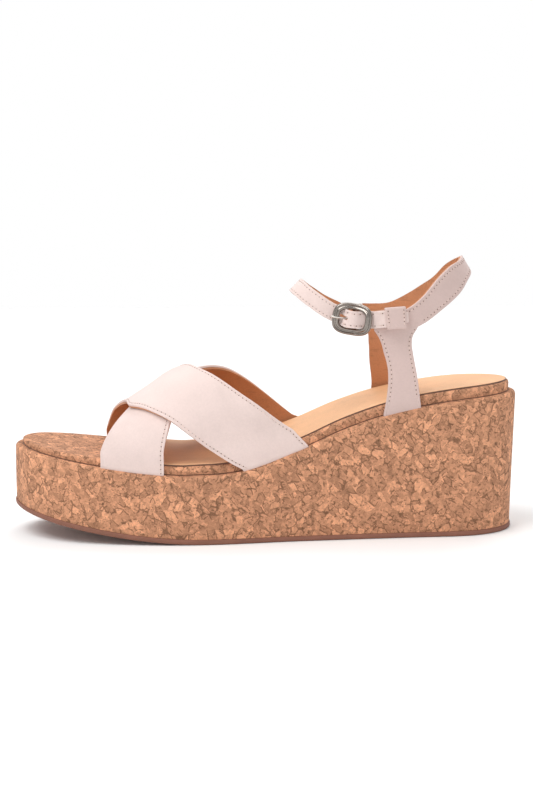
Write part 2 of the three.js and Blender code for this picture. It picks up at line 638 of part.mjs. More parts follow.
// ---------------------------------------------------------------- buckle
// Everything in the buckle is drawn at its bar: s along the strap, b across it, h out from the ankle.
const buckleFrameAxes = strapFrame(0);
const buckleMatrix = new THREE.Matrix4().makeBasis(
  buckleFrameAxes.along, buckleFrameAxes.across, buckleFrameAxes.out).setPosition(buckleFrameAxes.centre);
const buckleHanded = buckleMatrix.determinant() > 0 ? 1 : -1;
const atBuckle = (s, b, h) => new THREE.Vector3(s, b, h).applyMatrix4(buckleMatrix);

// A closed body from rings of local points: each ring is a closed section, and the last ring either
// meets the first (a loop) or both ends are capped with a fan.
function loft(sections, closed) {
  const size = sections[0].length;
  const positions = sections.flat().flatMap(([s, b, h]) => atBuckle(s, b, h).toArray());
  const triangles = [];
  const push = (a, b, c) => (buckleHanded > 0 ? triangles.push(a, b, c) : triangles.push(a, c, b));
  const steps = closed ? sections.length : sections.length - 1;
  for (const k of range(steps)) {
    const next = (k + 1) % sections.length;
    for (const i of range(size)) {
      const j = (i + 1) % size;
      push(k * size + i, k * size + j, next * size + j);
      push(k * size + i, next * size + j, next * size + i);
    }
  }
  if (!closed) {
    const last = (sections.length - 1) * size;
    for (const i of range(size - 2)) {
      push(0, i + 2, i + 1);
      push(last, last + i + 1, last + i + 2);
    }
  }
  const solid = solidOf(geometryOf(positions, triangles));
  if (solid.volume() > 0) return solid;
  return solidOf(geometryOf(positions, range(triangles.length / 3).flatMap((i) =>
    [triangles[3 * i], triangles[3 * i + 2], triangles[3 * i + 1]])));
}

const barHeight = tabThickness + 0.25 + barRadius;
const frameThickness = 1.9;
const rock = 0.55;               // free play of the frame over the strap
const frontSideHeight = leatherThickness + rock + frameThickness / 2;
const rearSideHeight = tailLift + leatherThickness + rock + frameThickness / 2 + 0.6;
const railHeight = barHeight + barRadius + 0.35;
const frameHeight = (s) => {
  const t = s / (buckleLength / 2 - buckleRail / 2);
  const [rear, front] = [rearSideHeight - railHeight, frontSideHeight - railHeight];
  return railHeight + (t > 0 ? rear : front) * min(1, t * t);
};
const frameSides = 32;
const frameRing = range(frameSides).map((i) => {
  const angle = 2 * PI * i / frameSides;
  const round = (v, power) => Math.sign(v) * abs(v) ** power;
  const [halfS, halfB] = [(buckleLength - buckleRail) / 2, (buckleHeight - buckleRail) / 2];
  const [c, s] = [round(cos(angle), 0.64), round(sin(angle), 0.64)];
  const [centreS, centreB] = [halfS * c, halfB * s];
  const outward = new THREE.Vector2(cos(angle) / halfS, sin(angle) / halfB).normalize();
  return range(8).map((k) => {
    const turn = 2 * PI * (k + 0.5) / 8;
    const across = cos(turn) * buckleRail / 2 / cos(PI / 8);
    const up = sin(turn) * frameThickness / 2 / cos(PI / 8);
    return [centreS + outward.x * across, centreB + outward.y * across, frameHeight(centreS) + up];
  });
});
const barSections = [-1, 1].map((end) => range(14).map((k) => {
  const turn = 2 * PI * k / 14;
  return [barRadius * cos(turn), end * (buckleHeight - buckleRail) / 2, barHeight + barRadius * sin(turn)];
}));
const buckleFrame = loft(frameRing, true).add(loft(barSections, false));

// Prong: an eye round the bar and a curved shaft that lies on the frame's front side.
const eyeWidth = 1.3;
const eye = (radius, halfWidth) => loft([-1, 1].map((end) => range(18).map((k) => {
  const turn = 2 * PI * k / 18;
  return [radius * cos(turn), end * halfWidth, barHeight + radius * sin(turn)];
})), false);
const prongRest = frontSideHeight + frameThickness / 2 + 0.12 + prongRadius;
const prongLine = new THREE.CatmullRomCurve3([
  [-0.9, 0, barHeight + 0.9], [-2.6, 0, barHeight + 1.35], [-4.2, 0, barHeight + 1.75],
  [-5.8, 0, prongRest - 0.85], [-7.2, 0, prongRest - 0.1], [-8.6, 0, prongRest],
  [-10.4, 0, prongRest - 0.15],
].map((point) => new THREE.Vector3(...point)));
const prongShaft = loft(range(13).map((i) => {
  const t = i / 12;
  const point = prongLine.getPoint(t);
  const tangent = prongLine.getTangent(t);
  const radius = prongRadius * (t > 0.93 ? 0.75 : 1);
  return range(6).map((k) => {
    const turn = 2 * PI * (k + 0.5) / 6;
    const up = radius * sin(turn);
    return [point.x - tangent.z * up, radius * cos(turn), point.z + tangent.x * up];
  });
}), false);
const prongEyeOuter = barRadius + 0.15 + 0.6;
const prongEye = eye(prongEyeOuter, eyeWidth / 2);
const buckleProng = prongShaft.add(prongEye).subtract(eye(barRadius + 0.15, eyeWidth));

// The oblong hole that the prong comes up through.
const boxAtBuckle = (s0, s1, b, h0, h1) => loft([s0, s1].map((s) =>
  [[s, -b, h0], [s, b, h0], [s, b, h1], [s, -b, h1]]), false);
const prongSlot = boxAtBuckle(-6.7, -2.1, prongRadius + 0.4, -2, 9);
ankleStrapOuter = ankleStrapOuter.subtract(prongSlot);
ankleStrapLining = ankleStrapLining.subtract(prongSlot);

// Tab: one strip of leather folded round the bar, its long leg under the halter's front end.
const tabReach = 17;
const loopRadius = barRadius + 0.25;
const tabLine = [
  ...range(12).map((i) => [lerp(tabReach, 1.5, i / 11), 0]),
  ...range(9).map((i) => {
    const turn = degrees(-80 - 25 * i);
    return [loopRadius * cos(turn), barHeight + loopRadius * sin(turn)];
  }),
  [2, barHeight + 0.62], [4, 1.3], [5.6, 2 * tabThickness - 0.45], [7.4, tabThickness + 0.15],
];
const tabPoint = (s, h, b) => {
  if (s < 2.5) return atBuckle(s, b, h);
  const { centre, across, out } = strapFrame(s);
  return centre.addScaledVector(across, b).addScaledVector(out, h);
};
const tabRows = tabLine.map(([s, h]) => [-1, 1].map((end) => tabPoint(s, h, end * tabWidth / 2)));
const prongNotch = boxAtBuckle(-3, 2.9, eyeWidth / 2 + 0.35, -2, 9);
const buckleTab = strip(tabRows, -tabThickness, 0).subtract(prongNotch);

// Keeper: a closed loop of leather sewn to the halter by its back, round the strap's tail.
const keeperMiddle = 20.3;
const keeperRoom = { b: ankleStrapWidth / 2 + clearance, top: keeperLift + leatherThickness + 0.25 };
const keeperRing = (inner) => {
  const [b, low, high, corner] = inner
    ? [keeperRoom.b, keeperLift - 0.2, keeperRoom.top, 0.3]
    : [keeperRoom.b + keeperLeather, overHalter, keeperRoom.top + keeperLeather, 0.8];
  return [[-b, low], [b, low], [b, high - corner], [b - corner, high], [corner - b, high],
    [-b, high - corner]];
};
const keeperBody = (inner, overrun) => {
  const sections = [-1, 0, 1].map((end) => {
    const { centre, across, out } = strapFrame(keeperMiddle + end * (keeperLength / 2 + overrun));
    return keeperRing(inner).map(([b, h]) =>
      centre.clone().addScaledVector(across, b).addScaledVector(out, h));
  });
  const size = sections[0].length;
  const triangles = [];
  for (const k of range(2)) {
    for (const i of range(size)) {
      const j = (i + 1) % size;
      triangles.push(k * size + i, k * size + j, (k + 1) * size + j);
      triangles.push(k * size + i, (k + 1) * size + j, (k + 1) * size + i);
    }
  }
  for (const i of range(size - 2)) {
    triangles.push(0, i + 2, i + 1, 2 * size, 2 * size + i + 1, 2 * size + i + 2);
  }
  const positions = sections.flat().flatMap((point) => point.toArray());
  const solid = solidOf(geometryOf(positions, triangles));
  return solid.volume() > 0 ? solid : solidOf(geometryOf(positions, [...triangles].reverse()));
};
const strapKeeper = keeperBody(false, 0).subtract(keeperBody(true, 2));

// ---------------------------------------------------------------- room for the tucked strap ends
const uprightPocket = (side) => {
  const rows = [...footSteps.toReversed(), [0.8, 0], [0.3, 0]].map(([fall, tuck]) =>
    footRow(side, fall, tuck + (tuck > 5 ? clearance : 0), 6, clearance));
  return pocket(side < 0 ? rows : rows.map((row) => row.reverse()));
};
const pockets = [...crossPockets(-1), ...crossPockets(1), uprightPocket(-1), uprightPocket(1)];
for (const room of pockets) {
  wedgeCorkWrap = wedgeCorkWrap.subtract(room);
  wedgeCore = wedgeCore.subtract(room);
}

// ---------------------------------------------------------------- the assembly
const finishes = {
  rubber: { color: 0xa4745c, roughness: 0.75, metalness: 0 },
  cork: { color: 0xc4926b, roughness: 0.85, metalness: 0 },
  foam: { color: 0xd8cfc0, roughness: 0.95, metalness: 0 },
  board: { color: 0x8d7458, roughness: 0.9, metalness: 0 },
  steel: { color: 0x9a9c9e, roughness: 0.35, metalness: 1 },
  sock: { color: 0xd9a67c, roughness: 0.6, metalness: 0 },
  nubuck: { color: 0xe6cfc6, roughness: 0.9, metalness: 0 },
  calf: { color: 0xc88a60, roughness: 0.55, metalness: 0 },
  webbing: { color: 0xe8e4dc, roughness: 0.9, metalness: 0 },
  nickel: { color: 0xa39c94, roughness: 0.22, metalness: 1 },
};

const sandal = new THREE.Group();
function addPiece(name, solid, finish) {
  const mesh = new THREE.Mesh(geometryFrom(solid), new THREE.MeshStandardMaterial(finishes[finish]));
  mesh.name = name;
  sandal.add(mesh);
}

addPiece('outsole', outsole, 'rubber');
addPiece('wedge_core', wedgeCore, 'foam');
addPiece('wedge_cork_wrap', wedgeCorkWrap, 'cork');
addPiece('insole_board', insoleBoard, 'board');
addPiece('shank', shank, 'steel');
addPiece('shank_rivet_front', rivetSolid(rivets[0], 0), 'steel');
addPiece('shank_rivet_rear', rivetSolid(rivets[1], 0), 'steel');
nailSpots.forEach((spot, i) => addPiece(`heel_nail_${i + 1}`, nailSolid(spot, 0), 'steel'));
addPiece('footbed_foam', footbedFoam, 'foam');
addPiece('footbed_cork_wrap', footbedCorkWrap, 'cork');
addPiece('sock_lining', sockLining, 'sock');
addPiece('strap_top_outer', topStrap.outer, 'nubuck');
addPiece('strap_top_lining', topStrap.lining, 'calf');
addPiece('strap_under_outer', underStrap.outer, 'nubuck');
addPiece('strap_under_lining', underStrap.lining, 'calf');
addPiece('halter_outer', halterOuter, 'nubuck');
addPiece('halter_lining', halterLining, 'calf');
addPiece('halter_tape', halterTape, 'webbing');
addPiece('ankle_strap_outer', ankleStrapOuter, 'nubuck');
addPiece('ankle_strap_lining', ankleStrapLining, 'calf');
addPiece('ankle_strap_tape', ankleStrapTape, 'webbing');
addPiece('buckle_tab', buckleTab, 'nubuck');
addPiece('buckle_frame', buckleFrame, 'nickel');
addPiece('buckle_prong', buckleProng, 'nickel');
addPiece('strap_keeper', strapKeeper, 'nubuck');

export default sandal;
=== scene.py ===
"""Wedge sandal: the visible surfaces, finishes, floor, light and camera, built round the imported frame.

Every piece is worked out in millimetres (toe at -X, heel at +X, outer side at -Y, floor at Z = 0) and put
into its mesh in metres, at the origin, so it lies where its CAD node lies.
"""
import math

import bpy
import numpy as np
from bpy.props import FloatProperty, FloatVectorProperty, PointerProperty
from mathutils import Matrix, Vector


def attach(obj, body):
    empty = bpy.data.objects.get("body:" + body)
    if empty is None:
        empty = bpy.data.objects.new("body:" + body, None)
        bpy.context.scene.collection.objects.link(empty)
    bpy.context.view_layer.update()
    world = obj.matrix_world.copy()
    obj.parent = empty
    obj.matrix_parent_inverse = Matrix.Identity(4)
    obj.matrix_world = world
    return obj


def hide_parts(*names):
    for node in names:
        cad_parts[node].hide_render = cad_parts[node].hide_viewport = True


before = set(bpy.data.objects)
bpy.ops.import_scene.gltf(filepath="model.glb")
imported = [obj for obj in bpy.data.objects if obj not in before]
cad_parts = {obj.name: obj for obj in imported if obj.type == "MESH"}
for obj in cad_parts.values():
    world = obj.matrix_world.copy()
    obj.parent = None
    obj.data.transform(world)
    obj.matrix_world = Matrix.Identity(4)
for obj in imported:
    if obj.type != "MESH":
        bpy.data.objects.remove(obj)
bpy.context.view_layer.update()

bl_info = {
    "name": "Wedge sandal",
    "version": (1, 0, 0),
    "blender": (4, 5, 0),
    "location": "View3D > Sidebar > Sandal",
    "description": "Cork wedge sandal with crossed straps, a heel halter and a buckled ankle strap",
    "category": "Object",
}

MM = 0.001
ROOT, BUCKLE, PRONG = "sandal", "buckle", "prong"

# ------------------------------------------------------------------ sizes, in millimetres
SOLE_LENGTH = 255.0
BALL_WIDTH = 86.0
HEEL_WIDTH = 62.5
PLATFORM_HEIGHT = 34.0
HEEL_HEIGHT = 71.0
TOE_SPRING = 14.2
TOE_LIFT = 11.5
OUTSOLE_THICKNESS = 2.6
OUTSOLE_WELT = 0.5
HEEL_LEAN = 2.0
FOOTBED_INSET = 3.6
TOE_RIM, BALL_RIM, HEEL_RIM = 2.8, 3.9, 5.0
SOCK_THICKNESS = 0.8
SOCK_INSET = 1.4
SOCK_FRONT = 0.25
SOCK_RADIUS = 90.0
CLEARANCE = 0.3
CROSS_STRAP_WIDTH = 30.0
INSTEP_HEIGHT = 43.0
OUTER_LEATHER = 1.05
LINING_LEATHER = 0.7
LEATHER = 2.2                    # lining, tape and outer leather together
OUTER_FROM = LEATHER - OUTER_LEATHER
STRAP_EDGE_INSET = FOOTBED_INSET - CLEARANCE
ANKLE_STRAP_WIDTH = 8.4
ANKLE_HEIGHT = 28.0
LOOP_LENGTH, LOOP_WIDTH, LOOP_CENTRE = 84.7, 52.0, 0.7249
BAND_FRONT = 97.5
BAR_RADIUS = 0.75
BUCKLE_LENGTH, BUCKLE_HEIGHT, BUCKLE_RAIL, BUCKLE_THICKNESS = 20.0, 15.8, 2.75, 1.9
PRONG_RADIUS = 0.5
TAB_THICKNESS, TAB_WIDTH, TAB_REACH = 0.7, 8.2, 17.0
KEEPER_LENGTH, KEEPER_LEATHER, KEEPER_MIDDLE = 9.2, 0.9, 20.3
OUTLINE_STEPS = 200


# ------------------------------------------------------------------ number tools
def profile(pairs):
    """A smooth curve through [position, value] pairs: a cubic between each two, with the slope at a
    pair set by its neighbours, held level past both ends."""
    xs, ys = np.array(pairs, float).T
    before, after = np.r_[0, np.arange(len(xs) - 1)], np.r_[np.arange(1, len(xs)), len(xs) - 1]
    slopes = (ys[after] - ys[before]) / (xs[after] - xs[before])

    def value(at):
        at = np.clip(np.asarray(at, float), xs[0], xs[-1])
        i = np.clip(np.searchsorted(xs, at, side="right") - 1, 0, len(xs) - 2)
        span = xs[i + 1] - xs[i]
        t = (at - xs[i]) / span
        return ((2 * t**3 - 3 * t**2 + 1) * ys[i] + (t**3 - 2 * t**2 + t) * slopes[i] * span
                + (3 * t**2 - 2 * t**3) * ys[i + 1] + (t**3 - t**2) * slopes[i + 1] * span)
    return value


def smooth(t):
    """An S-shaped step from 0 to 1."""
    t = np.clip(t, 0, 1)
    return t * t * (3 - 2 * t)


def unit(vectors):
    """Vectors scaled to length 1."""
    return vectors / np.maximum(np.linalg.norm(vectors, axis=-1, keepdims=True), 1e-9)


def sign_power(value, power):
    """A power that keeps the sign."""
    return np.sign(value) * np.abs(value) ** power


def full_turn(count):
    """Evenly spaced angles once round."""
    return np.linspace(0, 2 * np.pi, count, endpoint=False)


def xyz(x, y, z):
    """Three coordinate arrays joined into points."""
    return np.stack(np.broadcast_arrays(x, y, z), -1).astype(float)


def waves(points, pitch, seed):
    """A soft, repeatable ripple between -1 and 1: the mean of five sine waves in set directions."""
    random = np.random.default_rng(seed)
    directions = unit(random.normal(size=(5, 3)))
    phases = random.uniform(0, 2 * np.pi, 5)
    return np.mean(np.sin(points @ directions.T * (2 * np.pi / pitch) + phases), -1) * 1.6


# ------------------------------------------------------------------ platform outline and heights
def station_x(share):
    """Distance along X of a share of the length from the toe."""
    return (np.asarray(share, float) - 0.5) * SOLE_LENGTH


def share_of(x):
    """Share of the length from the toe at X."""
    return np.asarray(x, float) / SOLE_LENGTH + 0.5


OUTER_HALF = [[0, 0.03], [0.026, -0.44], [0.09, -0.76], [0.215, -0.965], [0.375, -1.01],
              [0.56, -0.86], [0.76, -0.742], [0.915, -0.64], [0.98, -0.36], [1, 0]]
INNER_HALF = [[0, 0.03], [0.026, 0.5], [0.09, 0.8], [0.215, 0.98], [0.375, 0.965],
              [0.56, 0.79], [0.76, 0.735], [0.915, 0.64], [0.98, 0.36], [1, 0]]


def catmull_rom(controls, count):
    """A closed centripetal Catmull-Rom curve: each span is a cubic whose end slopes depend on the square
    roots of the distances to the neighbouring controls. Returns points and tangents."""
    size = len(controls)
    place = np.arange(count) * size / count
    i = np.floor(place).astype(int)
    t = (place - i)[:, None]
    p0, p1, p2, p3 = (controls[(i + k) % size] for k in (-1, 0, 1, 2))
    d0, d1, d2 = (np.sqrt(np.linalg.norm(b - a, axis=1, keepdims=True))
                  for a, b in ((p0, p1), (p1, p2), (p2, p3)))
    m1 = ((p1 - p0) / d0 - (p2 - p0) / (d0 + d1) + (p2 - p1) / d1) * d1
    m2 = ((p2 - p1) / d1 - (p3 - p1) / (d1 + d2) + (p3 - p2) / d2) * d1
    cubic = 2 * p1 - 2 * p2 + m1 + m2
    square = 3 * p2 - 3 * p1 - 2 * m1 - m2
    return p1 + m1 * t + square * t**2 + cubic * t**3, m1 + 2 * square * t + 3 * cubic * t**2


def outline():
    """The platform's outline from above, from the toe tip along the outer side, and its inward normals."""
    table = np.array(OUTER_HALF + INNER_HALF[1:-1][::-1])
    heel_share = HEEL_WIDTH / BALL_WIDTH / 0.7267
    narrowing = 1 + (heel_share - 1) * smooth((table[:, 0] - 0.4) / 0.4)
    controls = np.stack([station_x(table[:, 0]), table[:, 1] * narrowing * BALL_WIDTH / 2], -1)
    points, tangents = catmull_rom(controls, 2 * OUTLINE_STEPS)
    return points, unit(np.stack([-tangents[:, 1], tangents[:, 0]], -1))


OUTLINE, INWARD = outline()


def inset_ring(inset):
    """The outline moved inwards."""
    return OUTLINE + INWARD * inset


def edge_y(side, x, inset=STRAP_EDGE_INSET):
    """Y where the inset outline crosses X, on the outer side (-1) or the inner side (+1)."""
    ring = inset_ring(inset)
    half = ring[:OUTLINE_STEPS + 1] if side < 0 else np.vstack([ring[:1], ring[OUTLINE_STEPS:][::-1]])
    return np.interp(x, np.maximum.accumulate(half[:, 0]), half[:, 1])


WEDGE_RISE = profile([[0.335, 0], [0.44, 0.045], [0.555, 0.305], [0.645, 0.57], [0.735, 0.765],
                      [0.855, 0.915], [1, 1]])
RIM_HEIGHT = profile([[0, TOE_RIM], [0.3, BALL_RIM], [0.75, HEEL_RIM], [1, HEEL_RIM]])


def outsole_bottom(x):
    """Height of the outsole's underside: flat, then curling up towards the toe."""
    return TOE_SPRING * np.clip(1 - share_of(x) / 0.375, 0, 1) ** 1.75


def wedge_bottom(x):
    """Height of the cork's lower edge."""
    return outsole_bottom(x) + OUTSOLE_THICKNESS


def wedge_top(x):
    """Height of the wedge's top: level under the ball, rising to the heel and a little to the toe."""
    share = share_of(x)
    rise = (HEEL_HEIGHT - PLATFORM_HEIGHT) * WEDGE_RISE(share)
    return PLATFORM_HEIGHT + rise + TOE_LIFT * np.clip(1 - share / 0.335, 0, 1) ** 1.4


def footbed_top(x):
    """Height of the footbed's top, before the sock lining."""
    return wedge_top(x) + CLEARANCE + RIM_HEIGHT(share_of(x))


# ------------------------------------------------------------------ mesh tools
def grid_quads(rows, columns, wrap_rows=False, wrap_columns=False):
    """Quads over a grid of points, optionally joined end to end along either way."""
    r = np.arange(rows if wrap_rows else rows - 1)[:, None]
    c = np.arange(columns if wrap_columns else columns - 1)[None, :]
    next_r, next_c = (r + 1) % rows, (c + 1) % columns
    corners = [r * columns + c, r * columns + next_c, next_r * columns + next_c, next_r * columns + c]
    return np.stack(np.broadcast_arrays(*corners), -1).reshape(-1, 4)


def capped_tube(rows, columns):
    """Faces of a tube of rings, with a flat face over each end."""
    first = np.arange(columns)
    return [*grid_quads(rows, columns, wrap_columns=True), first[::-1], first + (rows - 1) * columns]


def outward(points, faces):
    """The faces turned round if they enclose a negative volume."""
    volume = 0.0
    for face in faces:
        a, b, c = points[face[0]], points[face[1]], points[face[2]]
        volume += float(np.dot(a, np.cross(b, c)))
        if len(face) > 3:
            volume += float(np.dot(a, np.cross(c, points[face[3]])))
    return [face[::-1] for face in faces] if volume < 0 else faces


def vertex_normals(points, quads):
    """Normals at the points: the sum of the crossed diagonals of the quads that meet there."""
    corners = points[quads]
    facing = unit(np.cross(corners[:, 2] - corners[:, 0], corners[:, 3] - corners[:, 1]))
    normals = np.zeros_like(points)
    np.add.at(normals, quads.ravel(), np.repeat(facing, 4, axis=0))
    return unit(normals)


def free_edges(quads):
    """The edges that belong to one quad only, each in its quad's direction."""
    edges = np.concatenate([quads[:, [k, (k + 1) % 4]] for k in range(4)])
    key = np.sort(edges, axis=1)
    _, first, count = np.unique(key, axis=0, return_index=True, return_counts=True)
    return edges[first[count == 1]]


def edge_distance(points, edges):
    """Distance from each point to the nearest of the edges, taken as straight segments."""
    start, run = points[edges[:, 0]].astype(np.float32), (points[edges[:, 1]] - points[edges[:, 0]])
    run = run.astype(np.float32)
    offset = points[:, None, :].astype(np.float32) - start[None]
    t = np.clip(np.einsum("pek,ek->pe", offset, run) / np.maximum((run**2).sum(-1), 1e-9), 0, 1)
    gap = offset - t[..., None] * run[None]
    return np.sqrt(np.einsum("pek,pek->pe", gap, gap).min(1)).astype(float)


def build(name, points, faces, material, body=ROOT, slot=None, nodes=(), sharp=42.0):
    """Puts points (mm) and faces into a new smooth-shaded mesh object and hangs it on its body."""
    mesh = bpy.data.meshes.new(name)
    mesh.from_pydata((np.asarray(points) * MM).tolist(), [], [list(map(int, face)) for face in faces])
    mesh.validate()
    mesh.materials.append(material)
    mesh.shade_smooth()
    mesh.set_sharp_from_angle(angle=math.radians(sharp))
    piece = bpy.data.objects.new(name, mesh)
    bpy.context.scene.collection.objects.link(piece)
    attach(piece, body)
    if nodes:
        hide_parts(*nodes)
    return piece


GROOVE_REACH = 0.45              # half-width of the groove that a seam draws in
RIPPLE_PITCH = 9.0               # distance between the leather's soft swells


def thicken(points, quads, inner, outer, rounding=0.3, groove=0.0, groove_at=1.5, nap=0.0, seed=1):
    """A sheet from a patch of quads: two layers along its normals, joined round the free edges. The outer
    layer draws in over a quarter circle at the edge, dips in a soft groove under the stitching, and swells
    softly away from the edges by the nap."""
    normals = vertex_normals(points, quads)
    edges = free_edges(quads)
    apart = edge_distance(points, edges)
    drop = rounding * (1 - np.sqrt(np.maximum(0, 1 - (1 - np.minimum(apart, rounding) / rounding) ** 2)))
    dip = groove * np.exp(-(((apart - groove_at) / GROOVE_REACH) ** 2))
    lift = outer - drop - dip + nap * waves(points, RIPPLE_PITCH, seed) * smooth((apart - 1.9) / 3)
    count = len(points)
    layers = np.vstack([points + normals * np.reshape(inner + 0 * lift, (-1, 1)),
                        points + normals * lift[:, None]])
    a, b = edges.T
    rim = np.stack([a, b, b + count, a + count], -1)
    return layers, np.vstack([quads[:, ::-1], quads + count, rim])


def ring_stack(levels):
    """A closed body from outline rings stacked upwards. Each level is (ring points, heights); the top and
    bottom are closed by quads straight across from side to side."""
    rings = [xyz(ring[:, 0], ring[:, 1], z) for ring, z in levels]
    size = len(rings[0])
    half = size // 2
    walls = grid_quads(len(rings), size, wrap_columns=True)
    near = np.arange(half)
    far = (size - near) % size
    across = np.stack([near, far, size - near - 1, near + 1], -1)
    lower = [across[0, [0, 2, 3]], *across[1:-1], across[-1, :3]]
    top = (len(rings) - 1) * size
    upper = [np.asarray(face)[::-1] + top for face in lower]
    return np.vstack(rings), [*walls, *lower, *upper]


def stitches(line, beside, away_from, lift, pitch, gap=0.0):
    """Places for stitches along a line on a surface: centres, directions along, across and outwards."""
    steps = np.linalg.norm(np.diff(line, axis=0), axis=1)
    length = np.r_[0, np.cumsum(steps)]
    count = max(2, int((length[-1] - 2 * gap) / pitch))
    at = gap + (np.arange(count) + 0.5) * (length[-1] - 2 * gap) / count

    def sample(values, where):
        return np.stack([np.interp(where, length, values[:, k]) for k in range(3)], -1)
    centre = sample(line, at)
    along = unit(sample(line, at + 0.3) - sample(line, at - 0.3))
    out = unit(np.cross(along, sample(beside, at) - centre))
    away = centre - sample(np.broadcast_to(away_from, line.shape), at)
    out *= np.sign((out * away).sum(-1, keepdims=True))
    rise = np.interp(at, length, np.broadcast_to(lift, length.shape))[:, None]
    return centre + out * rise, along, np.cross(out, along), out


BEAD_RINGS, BEAD_POINTS = 5, 8


def beads(places, size, shift=0.0, sink=0.0):
    """A small ellipsoid, five rings of eight points, repeated at each place and turned to lie along it."""
    centre, along, across, out = places
    turn = full_turn(BEAD_POINTS)
    tilt = np.linspace(-0.46, 0.46, BEAD_RINGS) * np.pi
    x = np.repeat(np.sin(tilt), BEAD_POINTS)
    y = (np.cos(tilt)[:, None] * np.cos(turn)).ravel()
    z = (np.cos(tilt)[:, None] * np.sin(turn)).ravel()
    base = centre + along * shift - out * sink
    points = (base[:, None] + along[:, None] * (x * size[0])[None, :, None]
              + across[:, None] * (y * size[1])[None, :, None]
              + out[:, None] * (z * size[2])[None, :, None])
    quads = grid_quads(BEAD_RINGS, BEAD_POINTS, wrap_columns=True)
    first = np.arange(BEAD_POINTS)
    offset = (np.arange(len(centre)) * BEAD_RINGS * BEAD_POINTS)[:, None, None]
    walls = (quads[None] + offset).reshape(-1, 4)
    ends = [first[::-1], first + (BEAD_RINGS - 1) * BEAD_POINTS]
    caps = np.concatenate([end[None] + offset[:, 0] for end in ends])
    return points.reshape(-1, 3), [*walls, *caps]


